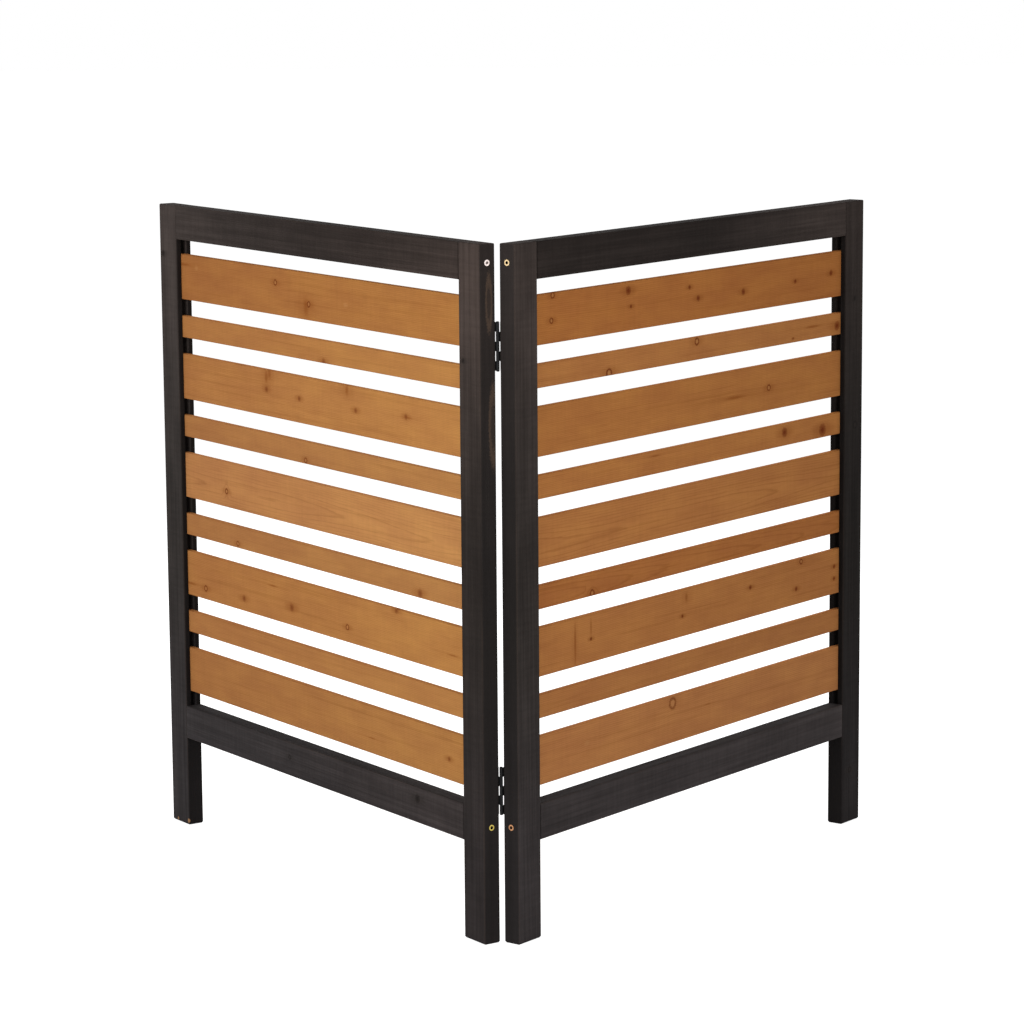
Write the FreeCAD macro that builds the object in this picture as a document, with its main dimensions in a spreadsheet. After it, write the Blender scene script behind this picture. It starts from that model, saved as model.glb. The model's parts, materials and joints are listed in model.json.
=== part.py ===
"""Folding slatted screen: two hinged panels that stand as a V.

Lengths are in mm.  Z is up, the floor is Z = 0, the hinge edge points to -Y and the V opens to +Y.
Each panel is drawn in its own panel axes: X runs along the panel from the hinge pin outwards, Y is
measured from the middle of the panel's depth and Z is up.  The body's placement then turns it about
Z and carries it to its side of the V.
"""
import FreeCAD, Part
import math
import os
import Sketcher
from FreeCAD import Vector

doc = FreeCAD.newDocument("FoldingScreen")
sheet = doc.addObject("Spreadsheet::Sheet", "Sizes")

SIZES = [
    ("panel_width", 965.2, "width of one panel over its two posts"),
    ("panel_height", 1066.8, "height of the posts"),
    ("open_angle", 72.0, "angle between the panels as they stand, in degrees"),
    ("panel_gap", 3.4, "gap between the inner posts when the panels lie flat"),
    ("frame_depth", 28.5, "depth of posts and rails, front to back"),
    ("post_width", 56.0, "width of a post"),
    ("post_edge_radius", 2.5, "rounding of a post's long edges"),
    ("post_top_chamfer", 1.2, "chamfer around a post's top"),
    ("post_foot_chamfer", 2.2, "chamfer around a post's foot"),
    ("leg_height", 153.5, "floor to the underside of the bottom rail"),
    ("rail_height", 56.5, "height of a rail"),
    ("rail_edge_radius", 2.0, "rounding of a rail's long edges"),
    ("wide_slat_height", 76.0, "height of a wide slat"),
    ("narrow_slat_height", 36.5, "height of a narrow slat"),
    ("slat_edge_gap", 25.1, "gap between a rail and the slat next to it"),
    ("slat_thickness", 10.0, "thickness of a slat"),
    ("slat_edge_radius", 1.2, "rounding of a slat's long edges"),
    ("groove_depth", 10.0, "depth of the slat groove in a post"),
    ("groove_side_clearance", 0.25, "clearance each side of a slat in the groove"),
    ("slat_end_clearance", 1.0, "clearance past a slat's end in the groove"),
    ("groove_overlap_share", 0.14, "share of the rail's height that the groove runs behind it"),
    ("rail_screw_diameter", 6.0, "shank of the socket screw in a rail's end"),
    ("rail_screw_head_diameter", 10.0, "head of the socket screw"),
    ("rail_screw_length", 95.0, "length of the socket screw"),
    ("rail_screw_point", 5.0, "length of the socket screw's point"),
    ("rail_screw_socket_size", 4.0, "hexagon of the socket screw, across flats"),
    ("rail_screw_socket_depth", 3.0, "depth of the hexagon"),
    ("rail_screw_head_angle", 90.0, "countersink angle of the socket screw, in degrees"),
    ("post_hole_clearance", 0.25, "clearance around the socket screw in the post"),
    ("pilot_clearance", 0.05, "clearance around a screw, dowel or brad in its hole"),
    ("hole_end_clearance", 1.0, "clearance past the end of a screw, dowel or brad"),
    ("dowel_diameter", 8.0, "diameter of a dowel"),
    ("dowel_length", 32.0, "length of a dowel"),
    ("dowel_end_chamfer", 0.8, "chamfer at a dowel's ends"),
    ("dowel_place_share", 0.25, "share of the rail's height from its middle to a dowel"),
    ("hinge_length", 73.0, "length of a hinge"),
    ("upper_hinge_drop", 153.4, "post's top to the middle of the upper hinge"),
    ("lower_hinge_height", 236.9, "floor to the middle of the lower hinge"),
    ("leaf_width", 24.0, "width of a hinge leaf on the wood"),
    ("leaf_thickness", 1.5, "thickness of a hinge leaf"),
    ("leaf_corner_radius", 2.0, "rounding of a leaf's outer corners"),
    ("knuckle_diameter", 5.2, "outside diameter of the knuckles"),
    ("knuckle_play", 0.3, "gap between knuckles along the pin"),
    ("leaf_clearance", 2.2, "gap between a leaf's plate and the other leaf's knuckles"),
    ("pin_diameter", 2.5, "diameter of the hinge pin"),
    ("pin_clearance", 0.05, "clearance around the pin in the knuckles"),
    ("pin_head_diameter", 4.4, "diameter of the pin's riveted ends"),
    ("pin_head_height", 0.9, "height of the pin's riveted ends"),
    ("hinge_screw_diameter", 3.2, "shank of a hinge screw"),
    ("hinge_screw_head_diameter", 6.2, "head of a hinge screw"),
    ("hinge_screw_length", 16.0, "length of a hinge screw"),
    ("hinge_screw_point", 3.0, "length of a hinge screw's point"),
    ("brad_diameter", 1.8, "diameter of a slat brad"),
    ("brad_length", 15.0, "length of a slat brad"),
    ("brad_point", 1.5, "length of a brad's point"),
    ("cut_overrun", 1.0, "how far a cut runs past the face it goes through"),
]
for row, (alias, number, note) in enumerate(SIZES, start=1):
    sheet.set(f"A{row}", note)
    sheet.set(f"B{row}", str(number))
    sheet.setAlias(f"B{row}", alias)
doc.recompute()

WIDE_SLATS = 5
NARROW_SLATS = 4
SLATS = WIDE_SLATS + NARROW_SLATS
KNUCKLES = 5
# Where a leaf's screws sit, as shares of the hinge's length from its middle and of the leaf's width.
leaf_hole_shares = ((-0.36, 0.40), (0.0, 0.68), (0.36, 0.40))

# Along the panel, from the pin.
NEAR_LOW = "Sizes.panel_gap / 2"
NEAR_HIGH = "(Sizes.panel_gap / 2 + Sizes.post_width)"
FAR_LOW = "(Sizes.panel_gap / 2 + Sizes.panel_width - Sizes.post_width)"
FAR_HIGH = "(Sizes.panel_gap / 2 + Sizes.panel_width)"
TONGUE = "(Sizes.groove_depth - Sizes.slat_end_clearance)"
BRAD_NEAR = f"({NEAR_HIGH} - {TONGUE} / 2)"
BRAD_FAR = f"({FAR_LOW} + {TONGUE} / 2)"
PLATE_LOW = "(Sizes.knuckle_diameter / 2 + Sizes.leaf_clearance)"
PLATE_HIGH = f"({PLATE_LOW} + Sizes.leaf_width)"

# Across the panel, from the middle of its depth.
HALF_DEPTH = "Sizes.frame_depth / 2"
PIN_BACK = "(Sizes.frame_depth / 2 + Sizes.knuckle_diameter / 2)"
GROOVE_WIDTH = "(Sizes.slat_thickness + 2 * Sizes.groove_side_clearance)"
CHEEK = f"((Sizes.frame_depth - {GROOVE_WIDTH}) / 2)"

# Up the panel, from the floor.
OPENING_LOW = "(Sizes.leg_height + Sizes.rail_height)"
OPENING_HIGH = "(Sizes.panel_height - Sizes.rail_height)"
GROOVE_OVERLAP = "Sizes.groove_overlap_share * Sizes.rail_height"
RAIL_MIDDLE = {
    "bottom": "(Sizes.leg_height + Sizes.rail_height / 2)",
    "top": "(Sizes.panel_height - Sizes.rail_height / 2)",
}
RAIL_LOW = {"bottom": "Sizes.leg_height", "top": OPENING_HIGH}
RAIL_HIGH = {"bottom": OPENING_LOW, "top": "Sizes.panel_height"}
HINGE_MIDDLE = {
    "upper": "(Sizes.panel_height - Sizes.upper_hinge_drop)",
    "lower": "Sizes.lower_hinge_height",
}
SLAT_HEIGHTS = f"({WIDE_SLATS} * Sizes.wide_slat_height + {NARROW_SLATS} * Sizes.narrow_slat_height)"
SLAT_GAP = (
    f"(({OPENING_HIGH} - {OPENING_LOW} - 2 * Sizes.slat_edge_gap - {SLAT_HEIGHTS}) / {SLATS - 1})"
)
KNUCKLE_PITCH = f"(Sizes.hinge_length / {KNUCKLES})"

# The back of the left panel is at -Y of its own axes, and that of the right panel at +Y.
FRONT_SIGN = {"left": 1, "right": -1}
# Which leaf of each hinge has the odd knuckles, and so holds the pin.
PIN_SIDE = {"upper": "left", "lower": "right"}

nodes = {}


def value(expression):
    """The number an expression over the sheet gives now."""
    return float(sheet.evalExpression(expression))


def slat_low(index):
    """Underside of a slat, counted from the bottom; wide and narrow ones take turns."""
    wide_below = (index + 1) // 2
    narrow_below = index // 2
    return (
        f"({OPENING_LOW} + Sizes.slat_edge_gap + {wide_below} * Sizes.wide_slat_height"
        f" + {narrow_below} * Sizes.narrow_slat_height + {index} * {SLAT_GAP})"
    )


def slat_height(index):
    return "Sizes.narrow_slat_height" if index % 2 else "Sizes.wide_slat_height"


def slat_middle(index):
    return f"({slat_low(index)} + {slat_height(index)} / 2)"


def place_on_panel(item, side):
    """Turn a piece about Z and carry it to its panel's side of the V."""
    sign = FRONT_SIGN[side]
    item.setExpression("Placement.Base.x", f"{-sign} * {PIN_BACK} * cos(Sizes.open_angle / 2)")
    item.setExpression(
        "Placement.Base.y",
        "-(Sizes.panel_gap + Sizes.panel_width) / 2 * cos(Sizes.open_angle / 2)",
    )
    item.setExpression("Placement.Rotation.Angle", f"90 + {sign} * Sizes.open_angle / 2")


def new_body(name, side):
    body = doc.addObject("PartDesign::Body", name)
    place_on_panel(body, side)
    nodes[name] = body
    return body


def origin_feature(body, role):
    return next(item for item in body.Origin.OriginFeatures if item.Role == role)


def new_sketch(body, name, role, offset=None):
    """A sketch on one of the body's own planes, moved along the plane's normal."""
    sketch = body.newObject("Sketcher::SketchObject", name)
    sketch.AttachmentSupport = [(origin_feature(body, role), "")]
    sketch.MapMode = "FlatFace"
    if offset:
        sketch.setExpression("AttachmentOffset.Base.z", offset)
    return sketch


def across_sketch(body, name, offset, sign):
    """A sketch seen from the front, a distance towards the panel's back from its middle."""
    return new_sketch(body, name, "XZ_Plane", f"{sign} * ({offset})")


def dimension(sketch, kind, refs, expression):
    index = sketch.addConstraint(Sketcher.Constraint(kind, *refs, value(expression)))
    sketch.setExpression(f"Constraints[{index}]", expression)


def rectangle(sketch, left, right, low, high):
    corners = [
        Vector(value(left), value(low)),
        Vector(value(right), value(low)),
        Vector(value(right), value(high)),
        Vector(value(left), value(high)),
    ]
    first = sketch.GeometryCount
    for index in range(len(corners)):
        sketch.addGeometry(Part.LineSegment(corners[index - 1], corners[index]))
    for index in range(len(corners)):
        following = first + (index + 1) % len(corners)
        sketch.addConstraint(Sketcher.Constraint("Coincident", first + index, 2, following, 1))
    sketch.addConstraint(Sketcher.Constraint("Vertical", first))
    sketch.addConstraint(Sketcher.Constraint("Horizontal", first + 1))
    sketch.addConstraint(Sketcher.Constraint("Vertical", first + 2))
    sketch.addConstraint(Sketcher.Constraint("Horizontal", first + 3))
    dimension(sketch, "DistanceX", (-1, 1, first + 1, 1), left)
    dimension(sketch, "DistanceY", (-1, 1, first + 1, 1), low)
    dimension(sketch, "DistanceX", (-1, 1, first + 3, 1), right)
    dimension(sketch, "DistanceY", (-1, 1, first + 3, 1), high)


def circles(sketch, centres, diameter):
    """Circles of one diameter; a centre's place across is None where it lies on the sketch's axis."""
    for across, up in centres:
        centre = Vector(value(across) if across else 0, value(up))
        circle = Part.Circle(centre, Vector(0, 0, 1), value(diameter) / 2)
        index = sketch.addGeometry(circle)
        if across:
            dimension(sketch, "DistanceX", (-1, 1, index, 3), across)
        else:
            sketch.addConstraint(Sketcher.Constraint("PointOnObject", index, 3, -2))
        dimension(sketch, "DistanceY", (-1, 1, index, 3), up)
        dimension(sketch, "Diameter", (index,), diameter)


def upright_slot(sketch, low, high, width):
    """A slot on the sketch's upright axis, with the round ends that a router leaves."""
    radius = value(width) / 2
    bottom = value(low)
    top = value(high)
    up = Vector(0, 0, 1)
    lower_circle = Part.Circle(Vector(0, bottom), up, radius)
    upper_circle = Part.Circle(Vector(0, top), up, radius)
    left = sketch.addGeometry(Part.LineSegment(Vector(-radius, bottom), Vector(-radius, top)))
    head = sketch.addGeometry(Part.ArcOfCircle(upper_circle, 0, math.pi))
    right = sketch.addGeometry(Part.LineSegment(Vector(radius, top), Vector(radius, bottom)))
    foot = sketch.addGeometry(Part.ArcOfCircle(lower_circle, math.pi, 2 * math.pi))
    sketch.addConstraint(Sketcher.Constraint("Tangent", left, 2, head, 2))
    sketch.addConstraint(Sketcher.Constraint("Tangent", right, 1, head, 1))
    sketch.addConstraint(Sketcher.Constraint("Tangent", right, 2, foot, 2))
    sketch.addConstraint(Sketcher.Constraint("Tangent", left, 1, foot, 1))
    sketch.addConstraint(Sketcher.Constraint("PointOnObject", head, 3, -2))
    sketch.addConstraint(Sketcher.Constraint("PointOnObject", foot, 3, -2))
    dimension(sketch, "DistanceY", (-1, 1, head, 3), high)
    dimension(sketch, "DistanceY", (-1, 1, foot, 3), low)
    dimension(sketch, "Radius", (head,), f"{width} / 2")


def pad(body, name, sketch, length, turned_round=False, midplane=False):
    feature = body.newObject("PartDesign::Pad", name)
    feature.Profile = sketch
    feature.setExpression("Length", length)
    feature.Reversed = turned_round
    feature.Midplane = midplane
    sketch.Visibility = False
    doc.recompute()
    return feature


def pocket(body, name, sketch, length=None, turned_round=False):
    """A blind cut of that length, or one that goes right through."""
    before = body.Shape.Volume
    feature = body.newObject("PartDesign::Pocket", name)
    feature.Profile = sketch
    if length:
        feature.setExpression("Length", length)
    else:
        feature.Type = "ThroughAll"
    feature.Reversed = turned_round
    sketch.Visibility = False
    doc.recompute()
    if feature.Shape.Volume >= before:
        raise RuntimeError(f"{body.Name}: {name} cuts nothing")
    return feature


def countersunk_hole(body, name, sketch, diameter, head_diameter, angle, turned_round):
    doc.recompute()
    before = body.Shape.Volume
    feature = body.newObject("PartDesign::Hole", name)
    feature.Profile = sketch
    doc.recompute()
    feature.ThreadType = "None"
    feature.DepthType = "ThroughAll"
    feature.HoleCutType = "Countersink"
    feature.setExpression("Diameter", diameter)
    feature.setExpression("HoleCutDiameter", head_diameter)
    feature.setExpression("HoleCutCountersinkAngle", angle)
    feature.Reversed = turned_round
    sketch.Visibility = False
    doc.recompute()
    if feature.Shape.Volume >= before:
        raise RuntimeError(f"{body.Name}: {name} cuts nothing")
    return feature


def edges_where(feature, test):
    """Names of the feature's edges that pass a test on their own bounding box."""
    return [
        f"Edge{index}"
        for index, edge in enumerate(feature.Shape.Edges, start=1)
        if test(edge.BoundBox)
    ]


def fillet(body, name, base, edges, radius):
    feature = body.newObject("PartDesign::Fillet", name)
    feature.Base = (base, edges)
    feature.setExpression("Radius", radius)
    doc.recompute()
    return feature


def chamfer(body, name, base, edges, size):
    feature = body.newObject("PartDesign::Chamfer", name)
    feature.Base = (base, edges)
    feature.setExpression("Size", size)
    doc.recompute()
    return feature


def make_post(side, end):
    """A post; the inner one stands at the hinge and the outer one at the panel's free edge."""
    sign = FRONT_SIGN[side]
    inner = end == "inner"
    body = new_body(f"{side}_{end}_post", side)
    left, right = (NEAR_LOW, NEAR_HIGH) if inner else (FAR_LOW, FAR_HIGH)
    slat_face, screw_face = (right, left) if inner else (left, right)

    section = new_sketch(body, "Section", "XY_Plane")
    rectangle(section, left, right, f"-{HALF_DEPTH}", HALF_DEPTH)
    stock = pad(body, "Stock", section, "Sizes.panel_height")
    height = value("Sizes.panel_height")
    upright = edges_where(stock, lambda box: box.ZLength > height / 2)
    rounded = fillet(body, "LongEdges", stock, upright, "Sizes.post_edge_radius")
    foot_edges = edges_where(rounded, lambda box: box.ZMax < height / 2)
    footed = chamfer(body, "FootEdges", rounded, foot_edges, "Sizes.post_foot_chamfer")
    top_edges = edges_where(footed, lambda box: box.ZMin > height / 2)
    chamfer(body, "TopEdges", footed, top_edges, "Sizes.post_top_chamfer")

    groove = new_sketch(body, "GrooveLine", "YZ_Plane", slat_face)
    upright_slot(
        groove,
        f"({OPENING_LOW} - {GROOVE_OVERLAP} + {GROOVE_WIDTH} / 2)",
        f"({OPENING_HIGH} + {GROOVE_OVERLAP} - {GROOVE_WIDTH} / 2)",
        GROOVE_WIDTH,
    )
    pocket(body, "Groove", groove, "Sizes.groove_depth", turned_round=not inner)

    dowels = new_sketch(body, "DowelCentres", "YZ_Plane", slat_face)
    circles(dowels, dowel_centres(), "Sizes.dowel_diameter + 2 * Sizes.pilot_clearance")
    dowel_depth = "Sizes.dowel_length / 2 + Sizes.hole_end_clearance"
    pocket(body, "DowelHoles", dowels, dowel_depth, turned_round=not inner)

    brads = across_sketch(body, "BradCentres", HALF_DEPTH, sign)
    across = BRAD_NEAR if inner else BRAD_FAR
    brad_centres = [(across, slat_middle(index)) for index in range(SLATS)]
    circles(brads, brad_centres, "Sizes.brad_diameter + 2 * Sizes.pilot_clearance")
    pocket(body, "BradHoles", brads, f"{CHEEK} + Sizes.cut_overrun", turned_round=sign < 0)

    if inner:
        screws = across_sketch(body, "HingeScrewCentres", HALF_DEPTH, sign)
        centres = leaf_hole_centres("upper") + leaf_hole_centres("lower")
        circles(screws, centres, "Sizes.hinge_screw_diameter + 2 * Sizes.pilot_clearance")
        depth = "Sizes.hinge_screw_length - Sizes.leaf_thickness + Sizes.hole_end_clearance"
        pocket(body, "HingeScrewHoles", screws, depth, turned_round=sign < 0)

    rail_screws = new_sketch(body, "RailScrewCentres", "YZ_Plane", screw_face)
    circles(
        rail_screws,
        [(None, RAIL_MIDDLE["bottom"]), (None, RAIL_MIDDLE["top"])],
        "Sizes.rail_screw_diameter",
    )
    countersunk_hole(
        body,
        "RailScrewHoles",
        rail_screws,
        "Sizes.rail_screw_diameter + 2 * Sizes.post_hole_clearance",
        "Sizes.rail_screw_head_diameter + 2 * Sizes.pilot_clearance",
        "Sizes.rail_screw_head_angle",
        turned_round=inner,
    )


def dowel_centres(levels=("bottom", "top")):
    """Dowel places on the face where a rail meets a post."""
    step = "Sizes.dowel_place_share * Sizes.rail_height"
    centres = []
    for level in levels:
        centres.append((None, f"({RAIL_MIDDLE[level]} - {step})"))
        centres.append((None, f"({RAIL_MIDDLE[level]} + {step})"))
    return centres


def leaf_hole_centres(hinge):
    """Screw places of one leaf: along the panel and up it."""
    return [
        (
            f"({PLATE_LOW} + {across} * Sizes.leaf_width)",
            f"({HINGE_MIDDLE[hinge]} + {along} * Sizes.hinge_length)",
        )
        for along, across in leaf_hole_shares
    ]


def make_rail(side, level):
    body = new_body(f"{side}_{level}_rail", side)
    face = new_sketch(body, "Face", "XZ_Plane")
    rectangle(face, NEAR_HIGH, FAR_LOW, RAIL_LOW[level], RAIL_HIGH[level])
    stock = pad(body, "Stock", face, "Sizes.frame_depth", midplane=True)
    half_length = value(f"({FAR_LOW} - {NEAR_HIGH}) / 2")
    lengthwise = edges_where(stock, lambda box: box.XLength > half_length)
    fillet(body, "LongEdges", stock, lengthwise, "Sizes.rail_edge_radius")

    pilot_depth = "Sizes.rail_screw_length - Sizes.post_width + Sizes.hole_end_clearance"
    dowel_depth = "Sizes.dowel_length / 2 + Sizes.hole_end_clearance"
    for end, place, turned_round in (("Near", NEAR_HIGH, True), ("Far", FAR_LOW, False)):
        pilot = new_sketch(body, f"{end}PilotCentre", "YZ_Plane", place)
        width = "Sizes.rail_screw_diameter + 2 * Sizes.pilot_clearance"
        circles(pilot, [(None, RAIL_MIDDLE[level])], width)
        pocket(body, f"{end}PilotHole", pilot, pilot_depth, turned_round)
        dowels = new_sketch(body, f"{end}DowelCentres", "YZ_Plane", place)
        width = "Sizes.dowel_diameter + 2 * Sizes.pilot_clearance"
        circles(dowels, dowel_centres((level,)), width)
        pocket(body, f"{end}DowelHoles", dowels, dowel_depth, turned_round)


def make_slat(side, index):
    sign = FRONT_SIGN[side]
    body = new_body(f"{side}_slat_{index + 1}", side)
    face = new_sketch(body, "Face", "XZ_Plane")
    low = slat_low(index)
    high = f"({low} + {slat_height(index)})"
    rectangle(face, f"({NEAR_HIGH} - {TONGUE})", f"({FAR_LOW} + {TONGUE})", low, high)
    stock = pad(body, "Stock", face, "Sizes.slat_thickness", midplane=True)
    half_length = value(f"({FAR_LOW} - {NEAR_HIGH}) / 2")
    lengthwise = edges_where(stock, lambda box: box.XLength > half_length)
    fillet(body, "LongEdges", stock, lengthwise, "Sizes.slat_edge_radius")

    brads = across_sketch(body, "BradCentres", "Sizes.slat_thickness / 2", sign)
    middle = slat_middle(index)
    width = "Sizes.brad_diameter + 2 * Sizes.pilot_clearance"
    circles(brads, [(BRAD_NEAR, middle), (BRAD_FAR, middle)], width)
    cover = "(Sizes.frame_depth - Sizes.slat_thickness) / 2"
    depth = f"Sizes.brad_length - {cover} + Sizes.hole_end_clearance"
    pocket(body, "BradHoles", brads, depth, turned_round=sign < 0)


def make_leaf(hinge, side):
    """A leaf with its knuckles: a plate on the wood's back, fingers, barrels and the pin's bore."""
    sign = FRONT_SIGN[side]
    body = new_body(f"{hinge}_hinge_{side}_leaf", side)
    middle = HINGE_MIDDLE[hinge]
    low = f"({middle} - Sizes.hinge_length / 2)"
    high = f"({middle} + Sizes.hinge_length / 2)"
    holds_pin = PIN_SIDE[hinge] == side
    first = 0 if holds_pin else 1
    count = (KNUCKLES + 1) // 2 if holds_pin else KNUCKLES // 2

    outline = across_sketch(body, "PlateOutline", HALF_DEPTH, sign)
    rectangle(outline, PLATE_LOW, PLATE_HIGH, low, high)
    plate = pad(body, "Plate", outline, "Sizes.leaf_thickness", turned_round=sign < 0)
    outer = value(f"({PLATE_LOW} + {PLATE_HIGH}) / 2")
    thickness = value("Sizes.leaf_thickness")
    corners = edges_where(
        plate, lambda box: box.XMin > outer and box.YLength > thickness / 2 and box.ZLength < thickness / 2
    )
    fillet(body, "PlateCorners", plate, corners, "Sizes.leaf_corner_radius")

    knuckle_low = f"({low} + {first} * {KNUCKLE_PITCH} + Sizes.knuckle_play / 2)"
    knuckle_length = f"({KNUCKLE_PITCH} - Sizes.knuckle_play)"
    finger_outline = across_sketch(body, "FingerOutline", HALF_DEPTH, sign)
    rectangle(finger_outline, "0", PLATE_LOW, knuckle_low, f"({knuckle_low} + {knuckle_length})")
    barrel_outline = new_sketch(body, "BarrelOutline", "XY_Plane", knuckle_low)
    circles(barrel_outline, [(None, f"{-sign} * {PIN_BACK}")], "Sizes.knuckle_diameter")
    finger = pad(body, "Finger", finger_outline, "Sizes.leaf_thickness", turned_round=sign < 0)
    barrel = pad(body, "Barrel", barrel_outline, knuckle_length)
    row = body.newObject("PartDesign::LinearPattern", "Knuckles")
    row.Originals = [finger, barrel]
    row.Direction = (origin_feature(body, "Z_Axis"), [""])
    row.setExpression("Length", f"2 * {count - 1} * {KNUCKLE_PITCH}")
    row.Occurrences = count
    body.Tip = row
    doc.recompute()

    bore = new_sketch(body, "BoreCentre", "XY_Plane", high)
    width = "Sizes.pin_diameter + 2 * Sizes.pin_clearance"
    circles(bore, [(None, f"{-sign} * {PIN_BACK}")], width)
    pocket(body, "Bore", bore)

    holes = across_sketch(body, "ScrewCentres", f"{HALF_DEPTH} + Sizes.leaf_thickness", sign)
    circles(holes, leaf_hole_centres(hinge), "Sizes.hinge_screw_diameter")
    head_step = "(Sizes.hinge_screw_head_diameter - Sizes.hinge_screw_diameter) / 2"
    countersunk_hole(
        body,
        "ScrewHoles",
        holes,
        "Sizes.hinge_screw_diameter + 2 * Sizes.pilot_clearance",
        "Sizes.hinge_screw_head_diameter + 2 * Sizes.pilot_clearance",
        f"2 * atan({head_step} / Sizes.leaf_thickness)",
        turned_round=sign < 0,
    )


def make_pin(hinge):
    """A plain pin with a riveted dome at each end, turned about its own axis."""
    side = PIN_SIDE[hinge]
    sign = FRONT_SIGN[side]
    body = new_body(f"{hinge}_hinge_pin", side)
    middle = HINGE_MIDDLE[hinge]
    low = f"({middle} - Sizes.hinge_length / 2)"
    high = f"({middle} + Sizes.hinge_length / 2)"
    shank_outline = new_sketch(body, "ShankOutline", "XY_Plane", low)
    centre = [(None, f"{-sign} * {PIN_BACK}")]
    circles(shank_outline, centre, "Sizes.pin_diameter")
    pad(body, "Shank", shank_outline, "Sizes.hinge_length")
    for name, place, downwards in (("UpperHead", high, False), ("LowerHead", low, True)):
        head_outline = new_sketch(body, f"{name}Outline", "XY_Plane", place)
        circles(head_outline, centre, "Sizes.pin_head_diameter")
        head = pad(body, name, head_outline, "Sizes.pin_head_height", turned_round=downwards)
        height = value("Sizes.pin_head_height")
        end = value(place) - height if downwards else value(place) + height
        rim = edges_where(head, lambda box: abs(box.Center.z - end) < height / 2)
        fillet(body, f"{name}Dome", head, rim, "Sizes.pin_head_height / 2")


def turned(profile):
    """A solid turned about X from (along, radius) pairs."""
    points = [Vector(along, radius, 0) for along, radius in profile]
    face = Part.Face(Part.makePolygon(points + points[:1]))
    return face.revolve(Vector(0, 0, 0), Vector(1, 0, 0), 360)


def placed(shape, base, direction):
    """A copy of a shape drawn along X, carried to a place and turned to a direction."""
    rotation = FreeCAD.Rotation(Vector(1, 0, 0), direction)
    copy = shape.copy()
    copy.Placement = FreeCAD.Placement(base, rotation)
    return copy


def new_group(name, side, shapes):
    """Like pieces of one panel, kept as separate solids of one node."""
    feature = doc.addObject("Part::Feature", name)
    feature.Shape = Part.makeCompound(shapes)
    place_on_panel(feature, side)
    nodes[name] = feature


def socket_screw():
    shank = value("Sizes.rail_screw_diameter / 2")
    head = value("Sizes.rail_screw_head_diameter / 2")
    length = value("Sizes.rail_screw_length")
    neck = (head - shank) / math.tan(math.radians(value("Sizes.rail_screw_head_angle / 2")))
    shoulder = length - value("Sizes.rail_screw_point")
    screw = turned([(0, 0), (0, head), (neck, shank), (shoulder, shank), (length, 0)])
    corner = value("Sizes.rail_screw_socket_size / sqrt(3)")
    turns = [math.radians(60 * step) for step in range(7)]
    hexagon = Part.makePolygon([Vector(0, corner * math.cos(t), corner * math.sin(t)) for t in turns])
    depth = value("Sizes.rail_screw_socket_depth")
    return screw.cut(Part.Face(hexagon).extrude(Vector(depth, 0, 0)))


def hinge_screw():
    shank = value("Sizes.hinge_screw_diameter / 2")
    head = value("Sizes.hinge_screw_head_diameter / 2")
    neck = value("Sizes.leaf_thickness")
    length = value("Sizes.hinge_screw_length")
    shoulder = length - value("Sizes.hinge_screw_point")
    return turned([(0, 0), (0, head), (neck, shank), (shoulder, shank), (length, 0)])


def dowel():
    radius = value("Sizes.dowel_diameter / 2")
    half = value("Sizes.dowel_length / 2")
    eased = value("Sizes.dowel_end_chamfer")
    rim = radius - eased
    return turned(
        [(-half, 0), (-half, rim), (eased - half, radius), (half - eased, radius), (half, rim), (half, 0)]
    )


def brad():
    radius = value("Sizes.brad_diameter / 2")
    length = value("Sizes.brad_length")
    shoulder = length - value("Sizes.brad_point")
    return turned([(0, 0), (0, radius), (shoulder, radius), (length, 0)])


def make_fasteners(side):
    sign = FRONT_SIGN[side]
    outwards = Vector(1, 0, 0)
    inwards = Vector(-1, 0, 0)
    forwards = Vector(0, sign, 0)
    back = -sign * value(HALF_DEPTH)

    screw = socket_screw()
    screws = []
    for middle in RAIL_MIDDLE.values():
        screws.append(placed(screw, Vector(value(NEAR_LOW), 0, value(middle)), outwards))
        screws.append(placed(screw, Vector(value(FAR_HIGH), 0, value(middle)), inwards))
    new_group(f"{side}_rail_screws", side, screws)

    pieces = [
        placed(dowel(), Vector(value(joint), 0, value(up)), outwards)
        for joint in (NEAR_HIGH, FAR_LOW)
        for across, up in dowel_centres()
    ]
    new_group(f"{side}_dowels", side, pieces)

    leaf_face = back - sign * value("Sizes.leaf_thickness")
    pieces = [
        placed(hinge_screw(), Vector(value(across), leaf_face, value(up)), forwards)
        for hinge in HINGE_MIDDLE
        for across, up in leaf_hole_centres(hinge)
    ]
    new_group(f"{side}_hinge_screws", side, pieces)

    pieces = [
        placed(brad(), Vector(value(across), back, value(slat_middle(index))), forwards)
        for across in (BRAD_NEAR, BRAD_FAR)
        for index in range(SLATS)
    ]
    new_group(f"{side}_slat_brads", side, pieces)


for panel in FRONT_SIGN:
    make_post(panel, "outer")
    make_post(panel, "inner")
    make_rail(panel, "top")
    make_rail(panel, "bottom")
    for number in range(SLATS):
        make_slat(panel, number)
    for hinge_name in HINGE_MIDDLE:
        make_leaf(hinge_name, panel)
    make_fasteners(panel)
for hinge_name in HINGE_MIDDLE:
    make_pin(hinge_name)
doc.recompute()

for item in doc.Objects:
    if "Invalid" in item.State or "Error" in item.State:
        raise RuntimeError(f"{item.Name} did not recompute: {item.State}")
os.makedirs("parts", exist_ok=True)
for name, item in nodes.items():
    if item.Shape.isNull() or not item.Shape.isValid():
        raise RuntimeError(f"{name} has no valid shape")
    item.Shape.exportStep(f"parts/{name}.step")
    print(name, len(item.Shape.Solids), round(item.Shape.Volume, 1))
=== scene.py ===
import json
import math
from collections import namedtuple

import bmesh
import bpy
from bpy.props import FloatProperty, FloatVectorProperty, PointerProperty
from mathutils import Matrix, Vector


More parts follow.
